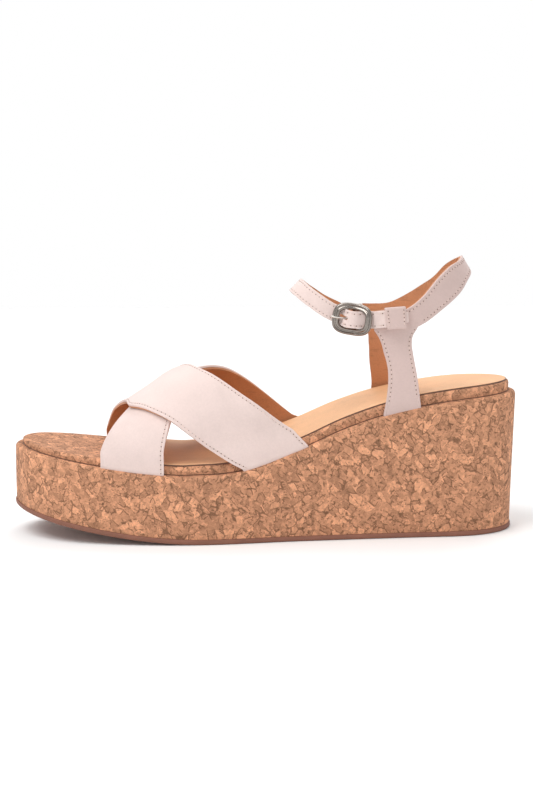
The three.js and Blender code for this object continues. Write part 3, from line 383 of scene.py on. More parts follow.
# ------------------------------------------------------------------ finishes
class Finish:
    """Builds one node material: a Principled shader and the textures that feed it, in Object coordinates,
    so that a pattern keeps its real size."""
    SOCKETS = {"sheen_weight": "Sheen Weight", "sheen_roughness": "Sheen Roughness", "metallic": "Metallic",
               "specular_ior_level": "Specular IOR Level", "rough": "Roughness"}

    def __init__(self, name, **settings):
        """A new material; settings are values of the shader's sockets."""
        self.material = bpy.data.materials.new(name)
        self.material.use_nodes = True
        self.tree = self.material.node_tree
        self.tree.nodes.clear()
        self.shader = self.add("ShaderNodeBsdfPrincipled")
        output = self.add("ShaderNodeOutputMaterial")
        self.tree.links.new(self.shader.outputs[0], output.inputs["Surface"])
        for socket, value in settings.items():
            self.shader.inputs[self.SOCKETS[socket]].default_value = value
        self.coordinates = self.add("ShaderNodeTexCoord").outputs["Object"]

    def add(self, kind):
        """A new node."""
        return self.tree.nodes.new(kind)

    def feed(self, socket, source):
        """Links a socket to a node output, or sets its value."""
        if isinstance(source, bpy.types.NodeSocket):
            self.tree.links.new(source, socket)
        else:
            socket.default_value = source

    def stretched(self, scale):
        """Object coordinates scaled along each axis."""
        node = self.add("ShaderNodeMapping")
        self.feed(node.inputs["Vector"], self.coordinates)
        node.inputs["Scale"].default_value = scale
        return node.outputs[0]

    def turned(self, turn, sizes):
        """Object coordinates, crumpled a little, then turned and divided by a size along each axis."""
        node = self.add("ShaderNodeMapping")
        node.vector_type = "TEXTURE"
        self.feed(node.inputs["Vector"], self.warped(500, 0.0011))
        node.inputs["Rotation"].default_value = turn
        node.inputs["Scale"].default_value = sizes
        return node.outputs[0]

    def noise(self, scale, detail=3.0, roughness=0.55, vector=None):
        """Cloudy noise, 0 to 1."""
        node = self.add("ShaderNodeTexNoise")
        self.feed(node.inputs["Vector"], vector or self.coordinates)
        node.inputs["Scale"].default_value = scale
        node.inputs["Detail"].default_value = detail
        node.inputs["Roughness"].default_value = roughness
        return node.outputs["Fac"]

    def cells(self, scale, feature="F1", output="Distance", vector=None):
        """Voronoi cells."""
        node = self.add("ShaderNodeTexVoronoi")
        node.feature = feature
        self.feed(node.inputs["Vector"], vector or self.coordinates)
        node.inputs["Scale"].default_value = scale
        return node.outputs[output]

    def warped(self, scale, amount):
        """Object coordinates pushed about by noise."""
        node = self.add("ShaderNodeTexNoise")
        self.feed(node.inputs["Vector"], self.coordinates)
        node.inputs["Scale"].default_value = scale
        push = self.add("ShaderNodeVectorMath")
        push.operation = "MULTIPLY_ADD"
        self.feed(push.inputs[0], node.outputs["Color"])
        push.inputs[1].default_value = (amount, amount, amount)
        self.feed(push.inputs[2], self.coordinates)
        return push.outputs[0]

    def ramp(self, source, stops):
        """A colour ramp; stops are (position, colour)."""
        node = self.add("ShaderNodeValToRGB")
        self.feed(node.inputs["Fac"], source)
        elements = node.color_ramp.elements
        while len(elements) < len(stops):
            elements.new(0.5)
        for element, (position, colour) in zip(elements, stops):
            element.position = position
            element.color = (*colour, 1) if not isinstance(colour, float) else (colour,) * 3 + (1,)
        return node.outputs["Color"]

    def mix(self, amount, first, second, mode="MIX"):
        """Two colours mixed."""
        node = self.add("ShaderNodeMix")
        node.data_type = "RGBA"
        node.blend_type = mode
        self.feed(node.inputs["Factor"], amount)
        for socket, value in (("A", first), ("B", second)):
            target = [s for s in node.inputs if s.name == socket and s.type == "RGBA"][0]
            self.feed(target, (*value, 1) if isinstance(value, tuple) and len(value) == 3 else value)
        return [s for s in node.outputs if s.type == "RGBA"][0]

    def maths(self, operation, first, second=0.5):
        """One sum."""
        node = self.add("ShaderNodeMath")
        node.operation = operation
        self.feed(node.inputs[0], first)
        self.feed(node.inputs[1], second)
        return node.outputs[0]

    def bump(self, height, distance, strength=1.0):
        """Bump feeding the shader's normal, after any bump already there."""
        node = self.add("ShaderNodeBump")
        node.inputs["Strength"].default_value = strength
        node.inputs["Distance"].default_value = distance
        self.feed(node.inputs["Height"], height)
        target = self.shader.inputs["Normal"]
        if target.is_linked:
            self.feed(node.inputs["Normal"], target.links[0].from_socket)
        self.feed(target, node.outputs[0])

    def colour(self, source):
        """Sets the base colour."""
        self.feed(self.shader.inputs["Base Color"], source)

    def roughness(self, source, low, high):
        """Roughness that varies with a texture between two values."""
        node = self.add("ShaderNodeMapRange")
        self.feed(node.inputs["Value"], source)
        node.inputs["To Min"].default_value = low
        node.inputs["To Max"].default_value = high
        self.feed(self.shader.inputs["Roughness"], node.outputs[0])


def tint(colour, factor):
    """A colour made lighter or darker."""
    return tuple(min(1.0, c * factor) for c in colour[:3])


def nubuck_finish(name, colour):
    """Brushed nubuck: cloudy strokes where the nap lies one way or the other, and a fine felted surface."""
    f = Finish(name, sheen_weight=0.25, sheen_roughness=0.45, specular_ior_level=0.15)
    strokes = f.noise(38, 4, 0.6, f.warped(30, 0.012))
    nap = f.noise(900, 3, 0.7)
    patch = f.ramp(strokes, [(0.32, tint(colour, 0.93)), (0.5, colour), (0.7, tint(colour, 1.05))])
    f.colour(f.mix(0.22, patch, f.ramp(nap, [(0.3, tint(colour, 0.8)), (0.7, tint(colour, 1.08))])))
    f.roughness(strokes, 0.82, 0.97)
    f.bump(nap, 0.00012, 0.55)
    f.bump(strokes, 0.0004, 0.35)
    return f.material


def leather_finish(name, colour, gloss, crease):
    """Smooth leather: small pebbled grain, pores and faint cross creases, darkened along the creases as
    painted shade.
    """
    f = Finish(name, specular_ior_level=0.45)
    grain = f.cells(950, "F1", "Distance", f.warped(300, 0.0008))
    shade = f.noise(32, 5, 0.6)
    folds = f.noise(1.0, 3, 0.6, f.stretched((90, 90, 620)))
    base = f.ramp(shade, [(0.3, tint(colour, 0.84)), (0.55, colour), (0.75, tint(colour, 1.12))])
    pores = f.ramp(f.noise(1500, 2), [(0.36, tint(colour, 0.62)), (0.5, tint(colour, 1.0))])
    # painted shade: the colour is multiplied darker along the creases, by the crease amount
    lines = f.ramp(folds, [(0.36, 0.74), (0.43, 1.0)])
    f.colour(f.mix(crease, f.mix(0.25, base, pores), lines, "MULTIPLY"))
    f.roughness(shade, gloss, gloss + 0.16)
    f.bump(grain, 0.00012, 0.5)
    f.bump(folds, 0.0003, crease * 0.6)
    return f.material


def cork_finish(colour):
    """Agglomerated cork: angular flakes stretched two ways and packed between one another, in tans and
    red-browns, with dark bark veins along parts of their edges, small chips, dark specks and pits."""
    f = Finish("cork", specular_ior_level=0.22)
    ways = [f.turned((0.5, 0.75, 0.4), (0.0066, 0.0040, 0.0030)),
            f.turned((-0.4, -0.85, 0.9), (0.0060, 0.0036, 0.0031))]
    pick = f.ramp(f.noise(150, 2), [(0.48, 0.0), (0.52, 1.0)])
    big = f.mix(pick, *(f.cells(1.0, "F1", "Color", way) for way in ways))
    edge = f.mix(pick, *(f.cells(1.0, "DISTANCE_TO_EDGE", "Distance", way) for way in ways))
    crumpled = f.warped(900, 0.0012)
    small = f.cells(720, "F1", "Color", crumpled)
    flakes = f.ramp(big, [(0.25, tint(colour, 0.8)), (0.42, tint(colour, 0.98)), (0.55, tint(colour, 1.12)),
                          (0.7, tint(colour, 1.32)), (0.82, tint(colour, 1.65))])
    chips = f.ramp(small, [(0.25, tint(colour, 0.62)), (0.45, tint(colour, 0.98)),
                           (0.62, tint(colour, 1.22)), (0.8, tint(colour, 1.6))])
    grain = f.noise(1150, 3, 0.7)
    body = f.mix(0.3, flakes, chips)
    body = f.mix(0.5, body, f.ramp(grain, [(0.3, 0.7), (0.5, 1.0), (0.7, 1.25)]), "MULTIPLY")
    veins = f.ramp(edge, [(0.0, 1.0), (0.05, 0.8), (0.08, 0.0)])
    broken = f.ramp(f.noise(260, 3, 0.6), [(0.46, 0.0), (0.52, 1.0)])
    body = f.mix(f.maths("MULTIPLY", f.maths("MULTIPLY", veins, broken), 0.8), body, tint(colour, 0.3))
    fine = f.ramp(f.cells(720, "DISTANCE_TO_EDGE", "Distance", crumpled), [(0.0, 1.0), (0.1, 0.0)])
    sparse = f.ramp(f.noise(300, 3, 0.6), [(0.53, 0.0), (0.6, 1.0)])
    body = f.mix(f.maths("MULTIPLY", f.maths("MULTIPLY", fine, sparse), 0.7), body, tint(colour, 0.28))
    speck = f.ramp(f.noise(640, 2, 0.5, f.stretched((1.0, 1.0, 1.5))), [(0.65, 0.0), (0.69, 1.0)])
    f.colour(f.mix(f.maths("MULTIPLY", speck, 0.75), body, tint(colour, 0.25)))
    f.roughness(grain, 0.68, 0.88)
    f.bump(edge, 0.0003, 0.4)
    f.bump(grain, 0.0002, 0.6)
    return f.material


def rubber_finish(colour):
    """Moulded rubber: a fine stipple, dusty scuffs and faint lengthwise moulding lines."""
    f = Finish("outsole_rubber", specular_ior_level=0.35)
    scuff = f.noise(60, 5, 0.7)
    stipple = f.noise(1300, 2, 0.6)
    f.colour(f.ramp(scuff, [(0.3, tint(colour, 0.82)), (0.55, colour), (0.8, tint(colour, 1.25))]))
    f.roughness(scuff, 0.55, 0.8)
    f.bump(stipple, 0.00012, 0.6)
    f.bump(f.noise(1.0, 2, 0.5, f.stretched((12, 12, 1100))), 0.0002, 0.4)
    return f.material


def metal_finish(name, colour, low, high):
    """Polished plating with hairline scratches and faint cloudiness."""
    f = Finish(name, metallic=1.0)
    cloud = f.noise(180, 4, 0.6)
    scratch = f.noise(1.0, 2, 0.6, f.stretched((260, 260, 4200)))
    f.colour(f.ramp(cloud, [(0.3, tint(colour, 0.86)), (0.7, tint(colour, 1.12))]))
    f.roughness(cloud, low, high)
    f.bump(scratch, 0.00003, 0.35)
    return f.material


def plain_finish(name, colour, scale, distance, rough):
    """An open-textured inner material: foam, board or tape, with cells or fibres at the given scale."""
    f = Finish(name, specular_ior_level=0.2)
    texture = f.cells(scale, "F1", "Distance", f.warped(scale / 2, 0.4 / scale))
    f.colour(f.ramp(texture, [(0.1, tint(colour, 0.75)), (0.6, tint(colour, 1.08))]))
    f.roughness(texture, rough - 0.1, rough)
    f.bump(texture, distance, 0.6)
    return f.material


def thread_finish(name, colour):
    """Twisted sewing thread."""
    f = Finish(name, sheen_weight=0.2, specular_ior_level=0.25)
    twist = f.noise(1600, 2, 0.5)
    f.colour(f.ramp(twist, [(0.3, tint(colour, 0.82)), (0.7, tint(colour, 1.08))]))
    f.roughness(twist, 0.7, 0.9)
    f.bump(twist, 0.00008, 0.5)
    return f.material


_made = {}


def finish(name):
    """The named material, made once from the colours in the Finishes group."""
    if name not in _made:
        c = {key: tuple(getattr(bpy.context.scene.sandal_finishes, key)) for key in FINISH_COLOURS}
        makers = {
            "nubuck": lambda: nubuck_finish("nubuck", c["nubuck"]),
            # the halter, tab and keeper get a darker copy of the strap nubuck: painted shade
            "nubuck_painted_shade": lambda: nubuck_finish("nubuck_painted_shade", c["nubuck_painted_shade"]),
            "lining": lambda: leather_finish("lining_leather", c["lining"], 0.42, 0.5),
            "sock": lambda: leather_finish("sock_leather", c["sock"], 0.5, 0.12),
            "cork": lambda: cork_finish(c["cork"]),
            "rubber": lambda: rubber_finish(c["rubber"]),
            # the frame's plating colour is darkened: a painted dark reflection
            "buckle": lambda: metal_finish("gunmetal", c["buckle"], 0.1, 0.22),
            "prong": lambda: metal_finish("prong_nickel", c["prong"], 0.12, 0.22),
            "steel": lambda: metal_finish("spring_steel", (0.5, 0.5, 0.52), 0.25, 0.4),
            "thread": lambda: thread_finish("thread", c["thread"]),
            # painted shade: one dark finish for the needle holes, the sock's edge and the foot of the
            # footbed rim
            "hole": lambda: thread_finish("needle_hole", c["hole"]),
            "foam": lambda: plain_finish("core_foam", (0.70, 0.64, 0.54), 700, 0.0003, 0.95),
            "board": lambda: plain_finish("insole_fibreboard", (0.28, 0.18, 0.10), 1200, 0.0001, 0.9),
            "webbing": lambda: plain_finish("webbing", (0.82, 0.79, 0.72), 1500, 0.0002, 0.95),
        }
        _made[name] = makers[name]()
    return _made[name]


# name: (default colour, description)
FINISH_COLOURS = {
    "nubuck": ((0.74, 0.60, 0.56), "Pale pink nubuck of the straps"),
    # painted shade: the strap nubuck made darker and a little more mauve, for the halter, tab and keeper
    "nubuck_painted_shade": ((0.62, 0.475, 0.44), "Deeper pink nubuck of the halter, tab and keeper"),
    "lining": ((0.55, 0.235, 0.108), "Tan lining leather"),
    "sock": ((0.80, 0.45, 0.235), "Light tan sock lining"),
    "cork": ((0.50, 0.245, 0.138), "Middle brown of the cork"),
    "rubber": ((0.25, 0.108, 0.072), "Outsole rubber"),
    # painted reflection: the frame's plating colour is darkened to stand for dark surroundings mirrored in
    # it, which the white studio does not hold
    "buckle": ((0.27, 0.24, 0.215), "Plated buckle frame"),
    "prong": ((0.66, 0.62, 0.58), "Plated prong"),
    "thread": ((0.74, 0.58, 0.52), "Sewing thread"),
    # painted shade: one dark colour for the needle holes, the sock's edge and the foot of the footbed rim
    "hole": ((0.16, 0.085, 0.06), "Shade inside a needle hole"),
}


# ------------------------------------------------------------------ platform pieces
SWELL, SWELL_STEPS = 0.12, 25    # height of the wrap's soft swell, and its length in outline steps
TOP_EDGE_DOWN = 2.4              # where the wedge's side ends and its rounded top edge starts
LEAN_FROM = 0.75                 # share of the length past which the heel leans in at its foot


def platform_points(inset, heights, foot=0.0):
    """A ring of the platform and its heights; foot is 1 at the floor, where the heel's back leans in."""
    ring = inset_ring(inset)
    share = share_of(ring[:, 0])
    z = heights(ring[:, 0])
    leaned = ring.copy()
    leaned[:, 0] -= foot * HEEL_LEAN * np.clip((share - LEAN_FROM) / (1 - LEAN_FROM), 0, 1) ** 2
    return leaned, z


def raised(heights, by):
    """A height function moved up."""
    return lambda x: heights(x) + by


def sock_ring(inset):
    """The sock lining's outline moved inwards, held behind an arc across the forefoot."""
    ring = inset_ring(FOOTBED_INSET + SOCK_INSET + inset)
    centre = station_x(SOCK_FRONT) + SOCK_RADIUS - inset
    ring[:, 0] = np.maximum(ring[:, 0], centre - np.sqrt(SOCK_RADIUS**2 - ring[:, 1] ** 2))
    return ring


class SANDAL_OT_outsole(bpy.types.Operator):
    """Rubber outsole: outline rings up a rounded edge, standing out a little past the cork"""
    bl_idname = "sandal.outsole"
    bl_label = "Outsole"

    def execute(self, context):
        """Rings over a rounded lower edge, a side that swells a little, and a rounded top edge."""
        levels = [(1.1, 0.0), (0.55, 0.12), (0.15, 0.4), (0.0, 0.8), (-0.04, 1.4), (0.0, 2.1),
                  (0.12, 2.42), (0.4, OUTSOLE_THICKNESS)]
        rings = [platform_points(inset - OUTSOLE_WELT, raised(outsole_bottom, by), 1)
                 for inset, by in levels]
        points, faces = ring_stack(rings)
        build("outsole_shape", points, faces, finish("rubber"), slot="outsole_rubber", nodes=["outsole"])
        return {"FINISHED"}


class SANDAL_OT_wedge(bpy.types.Operator):
    """Cork-covered wedge: outline rings up the side and over the rounded top edge"""
    bl_idname = "sandal.wedge"
    bl_label = "Wedge cork"

    def execute(self, context):
        """The side is divided in even steps between the two edges, with a soft swell of the wrap."""
        rings = [platform_points(0.15, raised(wedge_bottom, 0.02), 1)]
        for t in np.linspace(0, 1, 9):
            ring, low = platform_points(0, raised(wedge_bottom, 0.3), 1 - t)
            high = wedge_top(OUTLINE[:, 0]) - TOP_EDGE_DOWN
            swell = SWELL * np.sin(np.arange(len(ring)) * 2 * np.pi / SWELL_STEPS + 3.0 + 2 * t)
            rings.append((ring + INWARD * swell[:, None] * 4 * t * (1 - t), low + (high - low) * t))
        for inset, down in [(0.1, 1.75), (0.35, 1.15), (0.75, 0.65), (1.3, 0.28), (1.9, 0.08), (2.6, 0.0),
                            (5.0, 0.0)]:
            rings.append(platform_points(inset, raised(wedge_top, -down)))
        points, faces = ring_stack(rings)
        build("wedge_cork_shape", points, faces, finish("cork"), slot="cork", nodes=["wedge_cork_wrap"])
        return {"FINISHED"}


class SANDAL_OT_footbed(bpy.types.Operator):
    """Footbed: a cork-covered rim, and the tan sock lining on it from under the straps to the heel"""
    bl_idname = "sandal.footbed"
    bl_label = "Footbed and sock lining"

    def execute(self, context):
        """The rim is rings of the outline over a rounded top edge, and the sock is rings inside it. Thin
        dark rings draw the shade at the sock's edge and under the rim."""
        rings = [platform_points(FOOTBED_INSET, raised(wedge_top, lift)) for lift in (0.04, 0.6)]
        for inset, down in [(-0.05, 1.7), (0.08, 1.0), (0.3, 0.5), (0.62, 0.22), (1.0, 0.06), (1.4, 0.0),
                            (3.0, 0.0)]:
            rings.append(platform_points(FOOTBED_INSET + inset, raised(footbed_top, -down)))
        points, faces = ring_stack(rings)
        build("footbed_cork_shape", points, faces, finish("cork"), slot="cork", nodes=["footbed_cork_wrap"])

        sock = []
        for inset, lift in [(0, 0.02), (0.0, 0.45), (0.08, 0.72), (0.3, 0.9), (0.6, SOCK_THICKNESS + 0.15),
                            (1.1, 0.93), (1.5, 0.86), (1.9, 0.93), (2.5, 0.96), (6.0, 0.96)]:
            ring = sock_ring(inset)
            sock.append((ring, footbed_top(ring[:, 0]) + lift))
        points, faces = ring_stack(sock)
        build("sock_lining_shape", points, faces, finish("sock"), slot="sock_leather",
              nodes=["sock_lining"])

        # a dark ring round the sock's edge: painted shade
        sock_edge_shade_rings = []
        for inset, lift in [(0.0, 0.03), (-0.16, 0.1), (-0.2, 0.3), (-0.16, 0.55), (0.0, 0.72), (0.3, 0.5)]:
            ring = sock_ring(inset)
            sock_edge_shade_rings.append(xyz(ring[:, 0], ring[:, 1], footbed_top(ring[:, 0]) + lift))
        points = np.vstack(sock_edge_shade_rings)
        quads = grid_quads(len(sock_edge_shade_rings), len(OUTLINE), True, True)
        build("sock_edge", points, outward(points, list(quads)), finish("hole"))

        # a dark ring where the footbed rim meets the wedge: painted shade under the rim
        rim_shade_rings = [platform_points(FOOTBED_INSET + inset, raised(wedge_top, lift))
                for inset, lift in ((0.05, -0.3), (-0.12, 0.02), (-0.1, 0.42), (0.3, 0.5))]
        points, faces = ring_stack(rim_shade_rings)
        build("footbed_rim_shade", points, faces, finish("hole"))
        return {"FINISHED"}


# ------------------------------------------------------------------ crossed straps
# (angle over the form, station of the centre line, factor of the width) along a strap
REAR_END = [[0, 0.511, 1.063], [4, 0.484, 1.24]]
FRONT_END = [[124, 0.2665, 1.037], [149, 0.2478, 1.04], [168, 0.2359, 1.023], [180, 0.2355, 1.02]]
TOP_COURSE = np.array([*REAR_END, [15, 0.4402, 1.357], [30, 0.3935, 1.397], [44, 0.3557, 1.34],
                       [58, 0.3255, 1.233], [72, 0.302, 1.133], [88, 0.2915, 1.043],
                       [98, 0.2857, 1.01], *FRONT_END])
UNDER_COURSE = np.array([*REAR_END, [22.6, 0.4257, 1.383], [41, 0.3839, 1.36], [61.6, 0.3465, 1.25],
                         [75, 0.3218, 1.15], [88, 0.3, 1.1], [98, 0.29, 1.05], *FRONT_END])
COURSES = {side: (profile(table[:, [0, 1]]), profile(table[:, [0, 2]]))
           for side, table in ((-1, TOP_COURSE), (1, UNDER_COURSE))}
# the form's height by station, as a share of the instep's
FORM_RISE = profile([[0.147, 0.33], [0.186, 0.4], [0.225, 0.47], [0.272, 0.68], [0.323, 0.9],
                     [0.375, 0.975], [0.44, 1], [0.6, 1.01]])
STITCH_IN = 1.5                  # stitching in from the edge
LAP, GAP = 0.06, 0.1             # the outer leather laps the tape's level, and the lining stops short of it
NEAR_RIM = 8.0                   # below this angle the top strap's edges run straight to the rim's foot


def cross_x(side, angle, across):
    """X of a point of a crossed strap; across is 0 at its front edge and 1 at its rear edge."""
    centre, cut = COURSES[side]
    return station_x(centre(angle)) + (across - 0.5) * CROSS_STRAP_WIDTH * cut(angle)


def form_height(share, angle):
    """Height of the form over the footbed: it rises as the square root of 1 less the angle's cosine to the
    power 2.5."""
    c = np.cos(np.radians(angle))
    return INSTEP_HEIGHT * FORM_RISE(share) * np.sqrt(np.maximum(0, 1 - np.abs(c) ** 2.5))


def rim_x(angle, across, fall):
    """X of the top strap near its outer end: a straight run, by height, down to the foot of the rim."""
    foot, head = cross_x(-1, 0.0, across), cross_x(-1, NEAR_RIM, across)
    rim, share = RIM_HEIGHT(share_of(foot)), share_of(head)
    height = (1 - np.minimum(fall, 1)) * rim + form_height(share, np.minimum(angle, NEAR_RIM))
    return foot + (head - foot) * height / (rim + form_height(share, NEAR_RIM))


def cross_point(side, angle, across, fall=0.0, tuck=0.0):
    """A point over the forefoot: Y swings from rim to rim with the cosine of the angle, and the height is
    the form's. Past the rim, fall is the share of the rim gone down and tuck the distance in under it."""
    x = cross_x(side, angle, across)
    if side < 0:
        x = np.where(angle < NEAR_RIM, rim_x(angle, across, fall), x)
    start, end = edge_y(side, x), edge_y(-side, x)
    c = np.cos(np.radians(angle))
    y = (start + end) / 2 + (start - end) / 2 * c
    rise = form_height(share_of(x), angle)
    return xyz(x, y - np.sign(y) * tuck, footbed_top(x) + rise - fall * RIM_HEIGHT(share_of(x)))


def cross_lift(side, angle):
    """How far a strap stands off the form: only the top one rises, to clear the other where they cross."""
    if side > 0:
        return 0 * angle
    return (LEATHER + 0.75) * smooth((angle - 8) / 26) * smooth((168 - angle) / 30)


def edge_shares(width, inner=14):
    """Stations across a strap, crowded at its edges and under the stitching, as shares of its width."""
    near = np.array([0, 0.04, 0.13, 0.3, 0.6, 0.95, 1.2, 1.5, 1.8, 2.1]) / width
    middle = np.linspace(2.6 / width, 1 - 2.6 / width, inner)
    return np.r_[near, middle, 1 - near[::-1]]


def cross_patch(side, tucked):
    """The strap's rows: up the rim, over the form and down the other rim, tucked under where asked."""
    ends = [(1.03, 4.0), (1.03, 1.4), (0.99, 0.4), (0.93, 0.05), (0.8, 0), (0.55, 0), (0.3, 0), (0.12, 0)]
    ends = ends if tucked else ends[4:]
    angles = np.r_[0, 0.6, np.arange(1.2, 179, 1.2), 179.4, 180]
    fall, tuck = (np.r_[part, 0 * angles, part[::-1]] for part in np.array(ends).T)
    angle = np.r_[[0] * len(ends), angles, [180] * len(ends)]
    across = edge_shares(CROSS_STRAP_WIDTH, 16)
    across = across if side > 0 else across[::-1]
    points = cross_point(side, angle[:, None], across[None, :], fall[:, None], tuck[:, None])
    quads = grid_quads(*points.shape[:2])
    return points.reshape(-1, 3), quads[:, ::-1], np.repeat(angle, len(across))


def cross_stitches(side, across_mm, sizes):
    """Stitching along one edge of a crossed strap: inwards from its front edge, or back from its rear edge
    if the distance is negative. A first line sets how far apart line and edge are, and corrects it."""
    down = np.linspace(0.93, 0.05, 14)
    over = np.r_[np.linspace(0, 10, 60), np.linspace(10.3, 170, 400), np.linspace(170.3, 180, 60)]
    angle = np.r_[0 * down, over, 180 + 0 * down]
    fall = np.r_[down, 0 * over, down[::-1]]
    _, cut = COURSES[side]
    width = CROSS_STRAP_WIDTH * cut(angle)
    edge = 0.0 if across_mm > 0 else 1.0
    border = cross_point(side, angle, edge, fall)
    first = cross_point(side, angle, edge + across_mm / width, fall)
    apart = np.linalg.norm(first[:, None] - border[None], axis=-1).min(1)
    share = edge + across_mm / width * abs(across_mm) / np.maximum(apart, 0.5)
    line = cross_point(side, angle, share, fall)
    low = xyz(line[:, 0], 0 * line[:, 1], footbed_top(line[:, 0]) - 5)
    beside = cross_point(side, angle, share + np.sign(across_mm) / width, fall)
    lift = cross_lift(side, angle) + LEATHER - sizes.groove
    return stitches(line, beside, low, lift, sizes.stitch_pitch, 0.3)


def sew(name, runs, sizes):
    """Thread, and dark beads painting the shade in the needle holes, for a set of stitch runs, as two
    pieces.
    """
    places = [np.vstack(part) for part in zip(*runs)]
    thick = sizes.stitch_thickness / 2
    length = sizes.stitch_pitch * 0.36
    points, faces = beads(places, (length, thick, thick * 0.8), sink=-0.05)
    build(name + "_thread", points, faces, finish("thread"))
    # dark beads between the stitches: painted shade in the needle holes
    points, faces = beads(places, (0.3, 0.28, 0.14), shift=sizes.stitch_pitch / 2, sink=-0.06)
    build(name + "_holes", points, faces, finish("hole"))


class SANDAL_OT_crossed_straps(bpy.types.Operator):
    """The two crossed straps, each a nubuck outer on a tan lining, sewn along the edges that show"""
    bl_idname = "sandal.crossed_straps"
    bl_label = "Crossed straps"

    def execute(self, context):
        """Each layer is the strap's patch thickened to its own distances off the form."""
        sizes = context.scene.sandal_sizes
        for side, word in ((-1, "top"), (1, "under")):
            points, quads, angle = cross_patch(side, True)
            lift = cross_lift(side, angle)
            shape = thicken(points, quads, lift + OUTER_FROM - LAP, lift + LEATHER, 0.4, sizes.groove,
                            STITCH_IN, sizes.ripple, 5 + side)
            build(f"strap_{word}_outer_shape", *shape, finish("nubuck"), slot="nubuck",
                  nodes=[f"strap_{word}_outer"])
            points, quads, angle = cross_patch(side, False)
            lift = cross_lift(side, angle)
            shape = thicken(points, quads, lift, lift + OUTER_FROM - GAP, 0.2)
            build(f"strap_{word}_lining_shape", *shape, finish("lining"), slot="lining_leather",
                  nodes=[f"strap_{word}_lining"])
            edges = (STITCH_IN, -STITCH_IN) if side < 0 else (-STITCH_IN,)
            sew(f"strap_{word}", [cross_stitches(side, edge, sizes) for edge in edges], sizes)
        return {"FINISHED"}


# ------------------------------------------------------------------ halter and ankle strap
SEAT = float(footbed_top(station_x(0.95)))
BAND_FLOOR = SEAT + ANKLE_HEIGHT
LOOP_X = float(station_x(LOOP_CENTRE))
# (angle, upper edge, lower edge) of the band, above its floor
BAND_COURSE = np.array([[0, 34.6, 26.9], [20, 32.6, 23.3], [35, 30.2, 17], [50, 24.6, 10.3],
                        [63, 16.7, 3.9], [72, 12.1, 0.9], [80, 9.5, 0], [90, 9, -0.2], [101, 9.2, 0.2]])
BAND_TOP, BAND_LOW = profile(BAND_COURSE[:, [0, 1]]), profile(BAND_COURSE[:, [0, 2]])
# stations of the uprights' front and rear edges, by height from the footbed to the band
UPRIGHT_FRONT = profile([[0, 0.72], [0.2, 0.727], [0.45, 0.7305], [0.65, 0.726], [0.8, 0.7165],
                         [0.92, 0.703], [1, 0.692]])
UPRIGHT_REAR = profile([[0, 0.794], [0.35, 0.787], [0.65, 0.778], [0.8, 0.7745], [0.9, 0.776], [1, 0.785]])
REAR_ANGLE = math.degrees(math.acos((float(station_x(UPRIGHT_REAR(1))) - LOOP_X) / (LOOP_LENGTH / 2)))
BAND_WIDE, UPRIGHT_WIDE = 9.0, 20.0   # usual widths, which the grids' stations are spaced by
INNER_DIP, DIP_AT, DIP_REACH = 4.2, 46, 17   # the inner upper edge's dip: its depth, and its angles
INNER_FORWARD, FORWARD_AT, FORWARD_REACH = 0.0115, 0.5, 0.27   # the inner upright's wider middle
MM_PER_DEGREE = 0.66             # length along the band of a degree


def ankle_point(side, angle, z):
    """A point of the ankle loop, an ellipse from above: angle 0 is the heel's back and 180 the front. It
    leans forward with height at the back, and back with height at the front."""
    c, s = np.cos(np.radians(angle)), np.sin(np.radians(angle))
    middle = BAND_FLOOR + (BAND_TOP(angle) + BAND_LOW(angle)) / 2
    lean = np.where(c > 0, -0.6 * (z - middle) * c**2, (z - BAND_FLOOR - 19) * c**4)
    return xyz(LOOP_X + LOOP_LENGTH / 2 * c + lean, side * LOOP_WIDTH / 2 * s, z)


def band_point(angle, share):
    """A point of the halter band; angle is negative on the outer side, share 0 its upper edge, 1 its lower.
    The inner side's upper edge dips a little lower on its way to the heel."""
    side, turn = np.where(angle < 0, -1, 1), np.abs(angle)
    dip = np.where(angle > 0, INNER_DIP * np.exp(-(((turn - DIP_AT) / DIP_REACH) ** 2)), 0)
    top = BAND_TOP(turn) - dip
    return ankle_point(side, turn, BAND_FLOOR + top + (BAND_LOW(turn) - top) * share)


def upright_point(side, height, across, front_limit=0.0):
    """A point of an upright: height 0 at the footbed's crease and 1 at the band's lower edge, across 0 at
    its front edge and 1 at its rear. Y goes from the rim to the band as the height to the power 0.85."""
    head = band_point(side * (BAND_FRONT + (REAR_ANGLE - BAND_FRONT) * across), 1.0)
    front = np.maximum(UPRIGHT_FRONT(height), front_limit)
    if side > 0:
        front = front - INNER_FORWARD * np.exp(-(((height - FORWARD_AT) / FORWARD_REACH) ** 2))
    x = station_x(front + (UPRIGHT_REAR(height) - front) * across)
    top = station_x(UPRIGHT_FRONT(1) + (UPRIGHT_REAR(1) - UPRIGHT_FRONT(1)) * across)
    x = x + (head[..., 0] - top) * smooth((height - 0.7) / 0.3)
    low = footbed_top(x) - 0.95 * RIM_HEIGHT(share_of(x))
    z = low + (head[..., 2] - low) * height
    rise = np.clip((z - footbed_top(x)) / (head[..., 2] - footbed_top(x)), 0, 1) ** 0.85
    root = edge_y(side, x)
    return xyz(x, root + (head[..., 1] - root) * rise, z)


